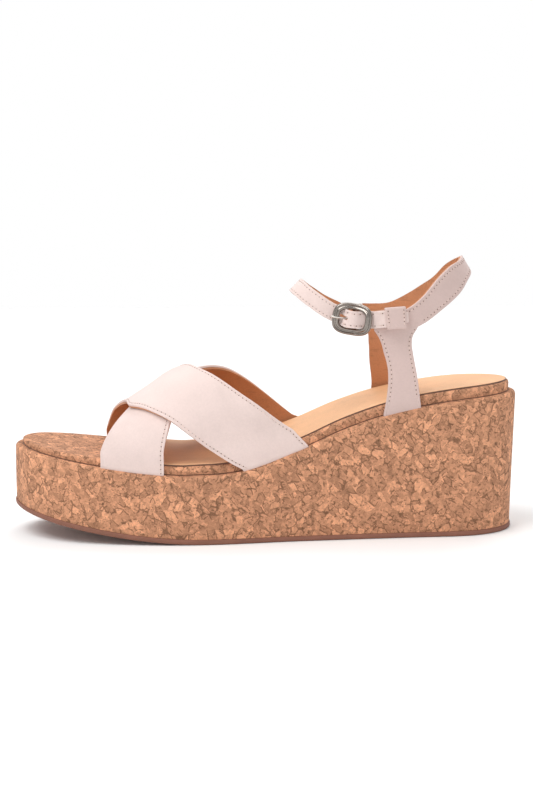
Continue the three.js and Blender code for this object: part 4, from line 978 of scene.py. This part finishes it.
def halter_patch(outer_front, front_limit, feet):
    """The halter: a band grid round the heel, and a grid for each upright that starts on the band's lower
    edge. Its columns run from the outer side's front, round the heel, to the inner side's front."""
    shares = edge_shares(BAND_WIDE, 7)
    across = np.unique(np.r_[np.linspace(0, 1, 26), edge_shares(UPRIGHT_WIDE, 6)])
    columns = len(across)
    heel = np.linspace(-REAR_ANGLE, REAR_ANGLE, 151)[1:-1]
    fans = [-(outer_front + (REAR_ANGLE - outer_front) * across),
            (BAND_FRONT + (REAR_ANGLE - BAND_FRONT) * across)[::-1]]
    angles = np.r_[fans[0], heel, fans[1]]
    band = band_point(angles[None, :], shares[:, None])
    total = len(angles)
    quads = [grid_quads(len(shares), total)]
    points = [band.reshape(-1, 3)]
    first = (len(shares) - 1) * total
    heights = np.r_[np.linspace(0.985, 0.9, 6), np.linspace(0.87, 0.0, 44)]
    start = band.size // 3
    for side in (-1, 1):
        share = across if side < 0 else across[::-1]
        row = upright_point(side, heights[:, None], share[None, :], front_limit if side < 0 else 0.0)
        if feet:
            foot = row[-1:].repeat(2, 0).copy()
            foot[:, :, 2] -= np.array([[0.3], [0.5]])
            foot[:, :, 1] -= side * np.array([[0.6], [3.5]])
            row = np.concatenate([row, foot])
        points.append(row.reshape(-1, 3))
        above = first + np.arange(columns) + (0 if side < 0 else total - columns)
        index = np.vstack([above, start + np.arange(row.size // 3).reshape(-1, columns)])
        quads.append(index.ravel()[grid_quads(*index.shape)])
        start += row.size // 3
    return np.vstack(points), np.vstack(quads)[:, ::-1]


def halter_stitches(sizes):
    """Stitching along the band's upper edge, its lower edge behind the heel, and the uprights' edges."""
    axis = np.array([LOOP_X, 0.0, 0.0])

    def run(line, beside):
        away = np.broadcast_to(axis, line.shape).copy()
        away[:, 2] = line[:, 2]
        return stitches(line, beside, away, LEATHER - sizes.groove, sizes.stitch_pitch, 0.8)
    runs = []
    for reach, count, curve, edge, inward in ((BAND_FRONT - 2.6, 700, BAND_TOP, 0, 1),
                                              (REAR_ANGLE - 1, 500, BAND_LOW, 1, -1)):
        turn = np.linspace(-reach, reach, count)
        deep = STITCH_IN / (BAND_TOP(np.abs(turn)) - BAND_LOW(np.abs(turn)))
        lean = np.sqrt(1 + (np.gradient(curve(np.abs(turn)), turn) / MM_PER_DEGREE) ** 2)
        share = edge + inward * deep * lean
        runs.append(run(band_point(turn, share), band_point(turn, share + inward * 0.1)))
    height = np.linspace(0.08, 1.0, 200)
    width = (UPRIGHT_REAR(height) - UPRIGHT_FRONT(height)) * SOLE_LENGTH
    for side in (-1, 1):
        for across, inward in ((STITCH_IN / width, 0.05), (1 - STITCH_IN / width, -0.05)):
            runs.append(run(upright_point(side, height, across),
                            upright_point(side, height, across + inward)))
    return runs


class SANDAL_OT_halter(bpy.types.Operator):
    """The heel halter: a band round the heel on two uprights, nubuck on a tan lining"""
    bl_idname = "sandal.halter"
    bl_label = "Halter"

    def execute(self, context):
        """Both layers are the halter's patch thickened to their own distances off the ankle."""
        sizes = context.scene.sandal_sizes
        points, quads = halter_patch(BAND_FRONT, 0.0, True)
        shape = thicken(points, quads, OUTER_FROM - LAP, LEATHER, 0.35, sizes.groove, STITCH_IN,
                        sizes.ripple * 0.7, 11)
        # the halter's outer wears the darkened copy of the nubuck, painted shade
        build("halter_outer_shape", *shape, finish("nubuck_painted_shade"), slot="nubuck", nodes=["halter_outer"])
        points, quads = halter_patch(86.0, 0.7305, False)
        build("halter_lining_shape", *thicken(points, quads, 0.0, OUTER_FROM - GAP, 0.2), finish("lining"),
              slot="lining_leather", nodes=["halter_lining"])
        turn = np.linspace(-BAND_FRONT + 4, BAND_FRONT - 4, 180)
        tape = band_point(turn[None, :], np.linspace(0.22, 0.78, 6)[:, None])
        quads = grid_quads(*tape.shape[:2])[:, ::-1]
        shape = thicken(tape.reshape(-1, 3), quads, LINING_LEATHER + GAP, OUTER_FROM - GAP, 0.05)
        build("halter_tape_shape", *shape, finish("webbing"), slot="webbing", nodes=["halter_tape"])
        sew("halter", halter_stitches(sizes), sizes)
        return {"FINISHED"}


# the ankle strap's height over the band's floor, by angle
STRAP_HEIGHT = profile([[76, 7], [88, 6.4], [98, 5.6], [111.5, 5.8], [120, 7.6], [126, 9.3], [142, 15],
                        [160, 18.8], [180, 19.9]])
WRAP_END, TAIL_END, BUCKLE_ANGLE = 84.0, 76.0, 111.5
STRAP_STITCH_IN = 1.3            # the ankle strap's stitching in from its edges


def strap_course():
    """The ankle strap's centre line from the inner side round the front to its tail, its length from the
    buckle's bar, and the directions along, across and out at each of its points."""
    count = 2881
    turns = WRAP_END + (360 - TAIL_END - WRAP_END) * np.arange(count) / (count - 1)
    side, angle = np.where(turns <= 180, 1, -1), np.where(turns <= 180, turns, 360 - turns)
    line = ankle_point(side, angle, BAND_FLOOR + STRAP_HEIGHT(angle))
    length = np.r_[0, np.cumsum(np.linalg.norm(np.diff(line, axis=0), axis=1))]
    length -= np.interp(360 - BUCKLE_ANGLE, turns, length)
    step = 26
    after = np.minimum(np.arange(count) + step, count - 1)
    before = np.maximum(np.arange(count) - step, 0)
    along = unit(line[after] - line[before])
    up = ankle_point(side, angle, line[:, 2] + 1) - ankle_point(side, angle, line[:, 2] - 1)
    across = unit(up - (up * along).sum(-1, keepdims=True) * along)
    return length, line, along, across, np.cross(along, across)


COURSE = strap_course()


def on_strap(s, b=0.0, h=0.0):
    """A point at a distance along the ankle strap from the buckle's bar, b across it and h out from it."""
    s = np.asarray(s, float)
    length = COURSE[0]
    centre, _, across, out = (np.stack([np.interp(s, length, part[:, k]) for k in range(3)], -1)
                              for part in COURSE[1:])
    return centre + across * np.asarray(b, float)[..., None] + out * np.asarray(h, float)[..., None]


OVER_HALTER = LEATHER + 0.4
TAIL_LIFT = 2 * (TAB_THICKNESS + 0.1) + 0.2
KEEPER_LIFT = OVER_HALTER + 0.7
STRAP_START, STRAP_STOP = float(COURSE[0][0]), float(COURSE[0][-1])
# how far out the strap lies along its way: over the halter, across the buckle's bar and through the keeper
STRAP_LIFT = profile([[STRAP_START, OVER_HALTER], [STRAP_START + 13, OVER_HALTER], [STRAP_START + 21, 0],
                      [-7.6, 0], [-6.3, 0.15], [-5, 1], [-3.8, 2.35], [-2.6, 3.4], [-1.2, 4], [0.6, 4],
                      [2, 3.5], [3.3, 2.7], [4.6, 2.1], [6, TAIL_LIFT], [9, TAIL_LIFT + 0.1],
                      [10.4, OVER_HALTER], [13, OVER_HALTER + 0.05], [15, KEEPER_LIFT], [30, KEEPER_LIFT]])


SLOT_FROM, SLOT_TO, SLOT_HALF = -6.4, -1.9, 0.9   # the prong's slot in the strap
START_DROP = 2.4                 # how far the strap's start hangs under its course, behind the band


def start_drop(s):
    """How far the strap hangs under its course, easing off along its first part."""
    return START_DROP * (1 - smooth((s - STRAP_START - 8) / 24))


def strap_patch():
    """The ankle strap's rows, close together at the buckle, with the prong's oblong slot left open."""
    s = np.r_[np.arange(STRAP_START + 0.05, -10, 0.7), np.arange(-10, 13, 0.25),
              np.arange(13.2, STRAP_STOP, 0.5)]
    b = (1 - 2 * edge_shares(ANKLE_STRAP_WIDTH, 9)) * (ANKLE_STRAP_WIDTH / 2)
    past = np.maximum(0, (s - STRAP_STOP + 3.5) / 3.6)
    round_end = np.minimum(1.0, np.sqrt(np.maximum(0.35, 1 - past**2)))
    all_s, all_b = np.broadcast_arrays(s[:, None], b[None, :])
    points = on_strap(all_s, b[None, :] * round_end[:, None] - start_drop(s)[:, None], 0.0)
    quads = grid_quads(len(s), len(b))
    middle_s, middle_b = all_s.ravel()[quads].mean(1), all_b.ravel()[quads].mean(1)
    keep = ~((middle_s > SLOT_FROM) & (middle_s < SLOT_TO) & (np.abs(middle_b) < SLOT_HALF))
    return points.reshape(-1, 3), quads[keep], np.repeat(s, len(b))


class SANDAL_OT_ankle_strap(bpy.types.Operator):
    """The ankle strap, from the inner side round the front and through the buckle to its tail"""
    bl_idname = "sandal.ankle_strap"
    bl_label = "Ankle strap"

    def execute(self, context):
        """Both layers are the strap's patch thickened over the lift that carries it across the buckle."""
        sizes = context.scene.sandal_sizes
        points, quads, s = strap_patch()
        used = np.unique(quads)
        place = np.zeros(len(points), int)
        place[used] = np.arange(len(used))
        points, quads, lift = points[used], place[quads], STRAP_LIFT(s[used])
        shape = thicken(points, quads, lift + OUTER_FROM - LAP, lift + LEATHER, 0.3, sizes.groove,
                        STRAP_STITCH_IN, sizes.ripple * 0.5, 17)
        build("ankle_strap_outer_shape", *shape, finish("nubuck"), slot="nubuck",
              nodes=["ankle_strap_outer"])
        shape = thicken(points, quads, lift, lift + OUTER_FROM - GAP, 0.15)
        build("ankle_strap_lining_shape", *shape, finish("lining"), slot="lining_leather",
              nodes=["ankle_strap_lining"])
        line = np.arange(STRAP_START + 0.3, STRAP_STOP - 0.5, 0.15)
        runs = []
        for edge in (ANKLE_STRAP_WIDTH / 2 - STRAP_STITCH_IN, STRAP_STITCH_IN - ANKLE_STRAP_WIDTH / 2):
            b = edge - start_drop(line)
            lifted = on_strap(line, b, STRAP_LIFT(line))
            axis = xyz(0 * line + LOOP_X, 0 * line, lifted[:, 2])
            beside = on_strap(line, b * 0.8, STRAP_LIFT(line))
            rise = LEATHER - sizes.groove - 0.1
            runs.append(stitches(lifted, beside, axis, rise, sizes.stitch_pitch, 0.5))
        sew("ankle_strap", runs, sizes)
        return {"FINISHED"}


# ------------------------------------------------------------------ buckle, tab and keeper
BAR_H = TAB_THICKNESS + 0.25 + BAR_RADIUS
ROCK = 0.55
FRONT_H = LEATHER + ROCK + BUCKLE_THICKNESS / 2
REAR_H = TAIL_LIFT + LEATHER + ROCK + BUCKLE_THICKNESS / 2 + 0.6
RAIL_H = BAR_H + BAR_RADIUS + 0.35


def at_buckle(s, b, h):
    """A point in the buckle's own axes at its bar: s along the strap, b across it, h out from the ankle."""
    centre, along, across, out = (np.array([np.interp(0, COURSE[0], part[:, k]) for k in range(3)])
                                  for part in COURSE[1:])
    s, b, h = (np.asarray(v, float)[..., None] for v in np.broadcast_arrays(s, b, h))
    return centre + along * s + across * b + out * h


def frame_height(s):
    """Height of the buckle frame's centre line: level over the bar, arched down to each end."""
    t = s / (BUCKLE_LENGTH / 2 - BUCKLE_RAIL / 2)
    return RAIL_H + np.where(t > 0, REAR_H - RAIL_H, FRONT_H - RAIL_H) * np.minimum(1, t * t)


class SANDAL_OT_buckle(bpy.types.Operator):
    """The plated buckle: a rounded frame with a centre bar, and its prong"""
    bl_idname = "sandal.buckle"
    bl_label = "Buckle and prong"
    SQUARENESS = 0.64
    # the rail's section, (outwards, up) in mm: a sloped outer face, a ridge, a shallow channel and an
    # inner ridge
    SECTION = np.array([(1.37, -0.7), (1.4, 0.1), (1.05, 0.75), (0.72, 0.95), (0.4, 0.84), (0.16, 0.55),
                        (-0.3, 0.48), (-0.7, 0.74), (-1.15, 0.88), (-1.65, 0.7), (-2.05, 0.15),
                        (-2.05, -0.6), (-1.6, -0.92), (0.9, -0.95)])

    def execute(self, context):
        """The frame is a closed section carried round a superellipse, the bar a plain rod, and the prong a
        bent, tapering rod with a ring round the bar."""
        turn = full_turn(160)
        half_s, half_b = (BUCKLE_LENGTH - BUCKLE_RAIL) / 2, (BUCKLE_HEIGHT - BUCKLE_RAIL) / 2
        s = half_s * sign_power(np.cos(turn), self.SQUARENESS)
        b = half_b * sign_power(np.sin(turn), self.SQUARENESS)
        way = unit(np.stack([np.cos(turn) / half_s, np.sin(turn) / half_b], -1))
        rail, rise = catmull_rom(self.SECTION, 56)[0].T
        points = at_buckle(s[:, None] + way[:, :1] * rail, b[:, None] + way[:, 1:] * rail,
                           frame_height(s)[:, None] + rise).reshape(-1, 3)
        faces = outward(points, list(grid_quads(len(turn), len(rail), True, True)))
        build("buckle_frame_shape", points, faces, finish("buckle"), BUCKLE, "gunmetal",
              ["buckle_frame"], 60)
        b = np.linspace(-half_b, half_b, 12)
        around = full_turn(24)
        points = at_buckle(BAR_RADIUS * np.cos(around)[None, :] + 0 * b[:, None], b[:, None] + 0 * around,
                           BAR_H + BAR_RADIUS * np.sin(around)[None, :]).reshape(-1, 3)
        faces = outward(points, capped_tube(len(b), len(around)))
        build("buckle_bar_shape", points, faces, finish("buckle"), BUCKLE, "gunmetal")

        rest = FRONT_H + BUCKLE_THICKNESS / 2 + 0.12 + PRONG_RADIUS
        curve = profile([[0.7, BAR_H + 0.95], [2.6, BAR_H + 1.35], [4.2, BAR_H + 1.75], [5.8, rest - 0.85],
                         [7.2, rest - 0.1], [8.6, rest], [10.5, rest - 0.15]])
        t = np.linspace(0, 1, 60)
        s = -0.7 - 9.9 * t
        h = curve(-s)
        radius = PRONG_RADIUS * (1.1 - 0.1 * t) * np.sqrt(np.clip((1.0 - t) / 0.05, 0.06, 1))
        slope = np.gradient(h, s)
        steep = 1 / np.sqrt(1 + slope**2)
        around = full_turn(16)
        up = radius[:, None] * np.sin(around)
        points = at_buckle(s[:, None] - (slope * steep)[:, None] * up, radius[:, None] * np.cos(around),
                           h[:, None] + steep[:, None] * up).reshape(-1, 3)
        faces = outward(points, capped_tube(len(t), len(around)))
        build("prong_shape", points, faces, finish("prong"), PRONG, "gunmetal", ["buckle_prong"])
        ring, section = full_turn(48), full_turn(12)
        far = BAR_RADIUS + 0.45 + 0.3 * np.cos(section)[None, :]
        points = at_buckle(far * np.cos(ring)[:, None], 0.6 * np.sin(section)[None, :],
                           BAR_H + far * np.sin(ring)[:, None]).reshape(-1, 3)
        faces = outward(points, list(grid_quads(len(ring), len(section), True, True)))
        build("prong_eye_shape", points, faces, finish("prong"), PRONG, "gunmetal")
        return {"FINISHED"}


class SANDAL_OT_tab(bpy.types.Operator):
    """The buckle's tab: a strip of leather folded round the bar, its legs sewn under the halter's front"""
    bl_idname = "sandal.tab"
    bl_label = "Buckle tab"

    def execute(self, context):
        """A line of (distance along, height) pairs, in under the halter, round the bar and back."""
        turn = np.radians(-80 - 10 * np.arange(21))
        around = BAR_RADIUS + 0.3
        s = np.r_[np.linspace(TAB_REACH, 1.4, 30), around * np.cos(turn), 2, 3, 4, 4.8, 5.6, 6.5, 7.4]
        h = np.r_[np.zeros(30), BAR_H + around * np.sin(turn), BAR_H + 0.66, 1.9, 1.45, 1.2, 1.02, 0.92,
                  0.86]
        b = (1 - 2 * edge_shares(TAB_WIDTH, 8)) * TAB_WIDTH / 2
        near = at_buckle(s[:, None], b[None, :], h[:, None])
        far = on_strap(np.broadcast_to(s[:, None], near.shape[:2]), b[None, :] + 0 * s[:, None],
                       h[:, None] + 0 * b[None, :])
        points = np.where((s < 2.5)[:, None, None], near, far)
        quads = grid_quads(*points.shape[:2])
        middle_s, middle_b = (part.ravel()[quads].mean(1)
                              for part in np.broadcast_arrays(s[:, None], b[None, :]))
        folded = np.repeat(np.arange(len(s)) > 24, len(b))[quads].all(1)
        quads = quads[~(folded & (middle_s < 2.9) & (np.abs(middle_b) < 1.0))]
        shape = thicken(points.reshape(-1, 3), quads, -TAB_THICKNESS, 0.0, 0.15)
        build("buckle_tab_shape", shape[0], outward(*shape), finish("nubuck_painted_shade"), slot="nubuck",
              nodes=["buckle_tab"])
        return {"FINISHED"}


class SANDAL_OT_keeper(bpy.types.Operator):
    """The keeper: a leather loop round the strap's tail, sewn along both of its long edges"""
    bl_idname = "sandal.keeper"
    bl_label = "Keeper"

    def execute(self, context):
        """A rounded oblong ring of leather carried along the strap, with softened ends."""
        sizes = context.scene.sandal_sizes
        half = ANKLE_STRAP_WIDTH / 2 + CLEARANCE
        top, low = KEEPER_LIFT + LEATHER + 0.25, OVER_HALTER
        turn = full_turn(96)
        ends = np.array([-1, -0.995, -0.98, -0.95, -0.8, -0.4, 0, 0.4, 0.8, 0.95, 0.98, 0.995, 1])
        drop = np.array([0.35, 0.16, 0.05, 0, 0, 0, 0, 0, 0, 0, 0.05, 0.16, 0.35])
        loops = []
        for inner in (False, True):
            grow = 0.0 if inner else KEEPER_LEATHER
            shrink = (drop if not inner else 0 * drop)[:, None]
            b = (half + grow - shrink) * sign_power(np.cos(turn), 0.32)[None, :]
            middle, rise = (top + low) / 2 + grow / 2, (top - low) / 2 + grow / 2 - shrink
            h = middle + rise * sign_power(np.sin(turn), 0.32)[None, :]
            h = np.maximum(h, low + (0.35 if inner else 0.02))
            s = KEEPER_MIDDLE + ends[:, None] * KEEPER_LENGTH / 2 + 0 * b
            loops.append(on_strap(s, b, h))
        outer, inner = loops
        points = np.vstack([outer, inner[::-1]]).reshape(-1, 3)
        quads = grid_quads(2 * len(ends), len(turn), True, True)
        build("strap_keeper_shape", points, outward(points, list(quads)), finish("nubuck_painted_shade"),
              slot="nubuck", nodes=["strap_keeper"], sharp=60)
        b = np.linspace(-half + 0.6, half - 0.6, 60)
        runs = []
        for end in (-1, 1):
            s = np.full(60, KEEPER_MIDDLE + end * (KEEPER_LENGTH / 2 - 1.1))
            h = np.full(60, top + KEEPER_LEATHER)
            line = on_strap(s, b, h)
            runs.append(stitches(line, on_strap(s - end * 0.5, b, h), on_strap(s, b * 0, h * 0), 0.0,
                                 sizes.stitch_pitch * 0.85, 0.2))
        sew("keeper", runs, sizes)
        return {"FINISHED"}


class SANDAL_OT_inside(bpy.types.Operator):
    """Finishes for the pieces inside the shoe, which keep their frame shapes"""
    bl_idname = "sandal.inside"
    bl_label = "Inner pieces"

    def execute(self, context):
        """Each inner node's slots get its own finish."""
        inner = {"foam": ["wedge_core", "footbed_foam"], "board": ["insole_board"],
                 "webbing": ["ankle_strap_tape"],
                 "steel": ["shank", "shank_rivet_front", "shank_rivet_rear", "heel_nail_1", "heel_nail_2",
                           "heel_nail_3"]}
        for name, nodes in inner.items():
            for node in nodes:
                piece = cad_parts[node]
                piece.data.materials.clear()
                piece.data.materials.append(finish(name))
        return {"FINISHED"}


# ------------------------------------------------------------------ floor, light and camera
class SANDAL_OT_stage(bpy.types.Operator):
    """A plain pale floor, soft studio light and the camera"""
    bl_idname = "sandal.stage"
    bl_label = "Stage"

    def execute(self, context):
        """The camera looks at a point over the floor from a distance, a turn and a tilt."""
        scene = context.scene
        look = scene.sandal_stage
        mesh = bpy.data.meshes.new("floor")
        wide = 1.3
        mesh.from_pydata([(-wide, -wide, 0), (wide, -wide, 0), (wide, wide, 0), (-wide, wide, 0)], [],
                         [(0, 1, 2, 3)])
        floor = bpy.data.objects.new("floor", mesh)
        scene.collection.objects.link(floor)
        pale = Finish("floor_paper", rough=0.9, specular_ior_level=0.1)
        pale.colour(pale.ramp(pale.noise(3), [(0.3, (0.93, 0.93, 0.93)), (0.7, (0.95, 0.95, 0.95))]))
        mesh.materials.append(pale.material)

        turn, tilt = math.radians(look.camera_turn), math.radians(look.camera_tilt)
        ahead = Vector((math.sin(turn) * math.cos(tilt), math.cos(turn) * math.cos(tilt), -math.sin(tilt)))
        target = Vector((0, 0, look.camera_aim))
        camera = bpy.data.cameras.new("camera")
        camera.sensor_width = 36
        camera.lens = look.camera_lens
        camera.clip_end = 100
        eye = bpy.data.objects.new("camera", camera)
        eye.location = target - ahead * look.camera_distance
        eye.rotation_euler = ahead.to_track_quat("-Z", "Y").to_euler()
        scene.collection.objects.link(eye)
        scene.camera = eye

        lights = [("key", (-0.75, -0.45, 1.5), 1.1, look.key_power),
                  ("fill", (1.0, -1.1, 0.7), 1.3, look.fill_power),
                  ("back", (0.3, 1.0, 1.4), 1.2, look.back_power)]
        for name, place, size, power in lights:
            lamp = bpy.data.lights.new(name, "AREA")
            lamp.size = size
            lamp.energy = power
            lit = bpy.data.objects.new(name, lamp)
            lit.location = place
            lit.rotation_euler = (Vector((0, 0, 0.06)) - Vector(place)).to_track_quat("-Z", "Y").to_euler()
            scene.collection.objects.link(lit)

        world = bpy.data.worlds.new("studio")
        world.use_nodes = True
        tree = world.node_tree
        tree.nodes.clear()
        coordinates = tree.nodes.new("ShaderNodeTexCoord")
        split = tree.nodes.new("ShaderNodeSeparateXYZ")
        ramp = tree.nodes.new("ShaderNodeValToRGB")
        background = tree.nodes.new("ShaderNodeBackground")
        output = tree.nodes.new("ShaderNodeOutputWorld")
        ramp.color_ramp.elements[0].position = 0.12
        ramp.color_ramp.elements[0].color = (1, 1, 1, 1)
        ramp.color_ramp.elements[1].position = 0.3
        ramp.color_ramp.elements[1].color = (look.sky_light,) * 3 + (1,)
        tree.links.new(coordinates.outputs["Generated"], split.inputs[0])
        tree.links.new(split.outputs["Z"], ramp.inputs["Fac"])
        tree.links.new(ramp.outputs["Color"], background.inputs["Color"])
        tree.links.new(background.outputs[0], output.inputs["Surface"])
        scene.world = world
        scene.view_settings.view_transform = "Standard"
        return {"FINISHED"}


# ------------------------------------------------------------------ settings, panel and registration
class SandalSizes(bpy.types.PropertyGroup):
    """Sizes of the sewing and the leather's surface, in millimetres."""
    stitch_pitch: FloatProperty(name="Stitch pitch", description="Distance from stitch to stitch, mm",
                                default=2.1, min=1.0, max=5.0)
    stitch_thickness: FloatProperty(name="Thread", description="Thickness of the thread, mm", default=0.5,
                                    min=0.1, max=1.5)
    groove: FloatProperty(name="Stitch groove", description="Depth that the stitching pulls in, mm",
                          default=0.14, min=0.0, max=0.5)
    ripple: FloatProperty(name="Leather ripple", description="Height of the leather's soft ripple, mm",
                          default=0.1, min=0.0, max=0.5)


class SandalFinishes(bpy.types.PropertyGroup):
    """Colours of the finishes."""
    __annotations__ = {
        key: FloatVectorProperty(name=key.capitalize(), description=words, subtype="COLOR", size=3,
                                 default=colour, min=0.0, max=1.0)
        for key, (colour, words) in FINISH_COLOURS.items()
    }


class SandalStage(bpy.types.PropertyGroup):
    """The camera and the lights."""
    camera_turn: FloatProperty(name="Camera turn", description="Degrees round towards the toe", default=3.0)
    camera_tilt: FloatProperty(name="Camera tilt", description="Degrees down", default=8.0)
    camera_distance: FloatProperty(name="Camera distance", description="Distance to its target",
                                   default=0.89, unit="LENGTH")
    camera_aim: FloatProperty(name="Camera aim", description="Height of its target", default=0.0655,
                              unit="LENGTH")
    camera_lens: FloatProperty(name="Lens", description="Focal length, mm", default=78.525)
    key_power: FloatProperty(name="Key", description="Key light", default=18.0, unit="POWER")
    fill_power: FloatProperty(name="Fill", description="Fill light", default=1.5, unit="POWER")
    back_power: FloatProperty(name="Back", description="Back light", default=11.0, unit="POWER")
    sky_light: FloatProperty(name="Sky", description="Brightness of the surrounding light", default=0.62)


STEPS = [SANDAL_OT_stage, SANDAL_OT_outsole, SANDAL_OT_wedge, SANDAL_OT_footbed, SANDAL_OT_crossed_straps,
         SANDAL_OT_halter, SANDAL_OT_ankle_strap, SANDAL_OT_buckle, SANDAL_OT_tab, SANDAL_OT_keeper,
         SANDAL_OT_inside]


class SANDAL_PT_panel(bpy.types.Panel):
    """Lists the sandal's steps and their settings"""
    bl_label = "Wedge sandal"
    bl_idname = "SANDAL_PT_panel"
    bl_space_type = "VIEW_3D"
    bl_region_type = "UI"
    bl_category = "Sandal"

    def draw(self, context):
        """One button for each step, then the settings."""
        for step in STEPS:
            self.layout.operator(step.bl_idname)
        scene = context.scene
        for group in (scene.sandal_sizes, scene.sandal_finishes, scene.sandal_stage):
            for key in group.__annotations__:
                self.layout.prop(group, key)


CLASSES = [SandalSizes, SandalFinishes, SandalStage, *STEPS, SANDAL_PT_panel]


def register():
    """Registers the classes and hangs the settings on the scene."""
    for item in CLASSES:
        bpy.utils.register_class(item)
    bpy.types.Scene.sandal_sizes = PointerProperty(type=SandalSizes)
    bpy.types.Scene.sandal_finishes = PointerProperty(type=SandalFinishes)
    bpy.types.Scene.sandal_stage = PointerProperty(type=SandalStage)


def unregister():
    """Takes the settings and the classes away again."""
    for name in ("sandal_sizes", "sandal_finishes", "sandal_stage"):
        delattr(bpy.types.Scene, name)
    for item in reversed(CLASSES):
        bpy.utils.unregister_class(item)


def main():
    """Builds the sandal and its stage."""
    register()
    for step in STEPS:
        group, name = step.bl_idname.split(".")
        getattr(getattr(bpy.ops, group), name)()


if __name__ == "__main__":
    main()
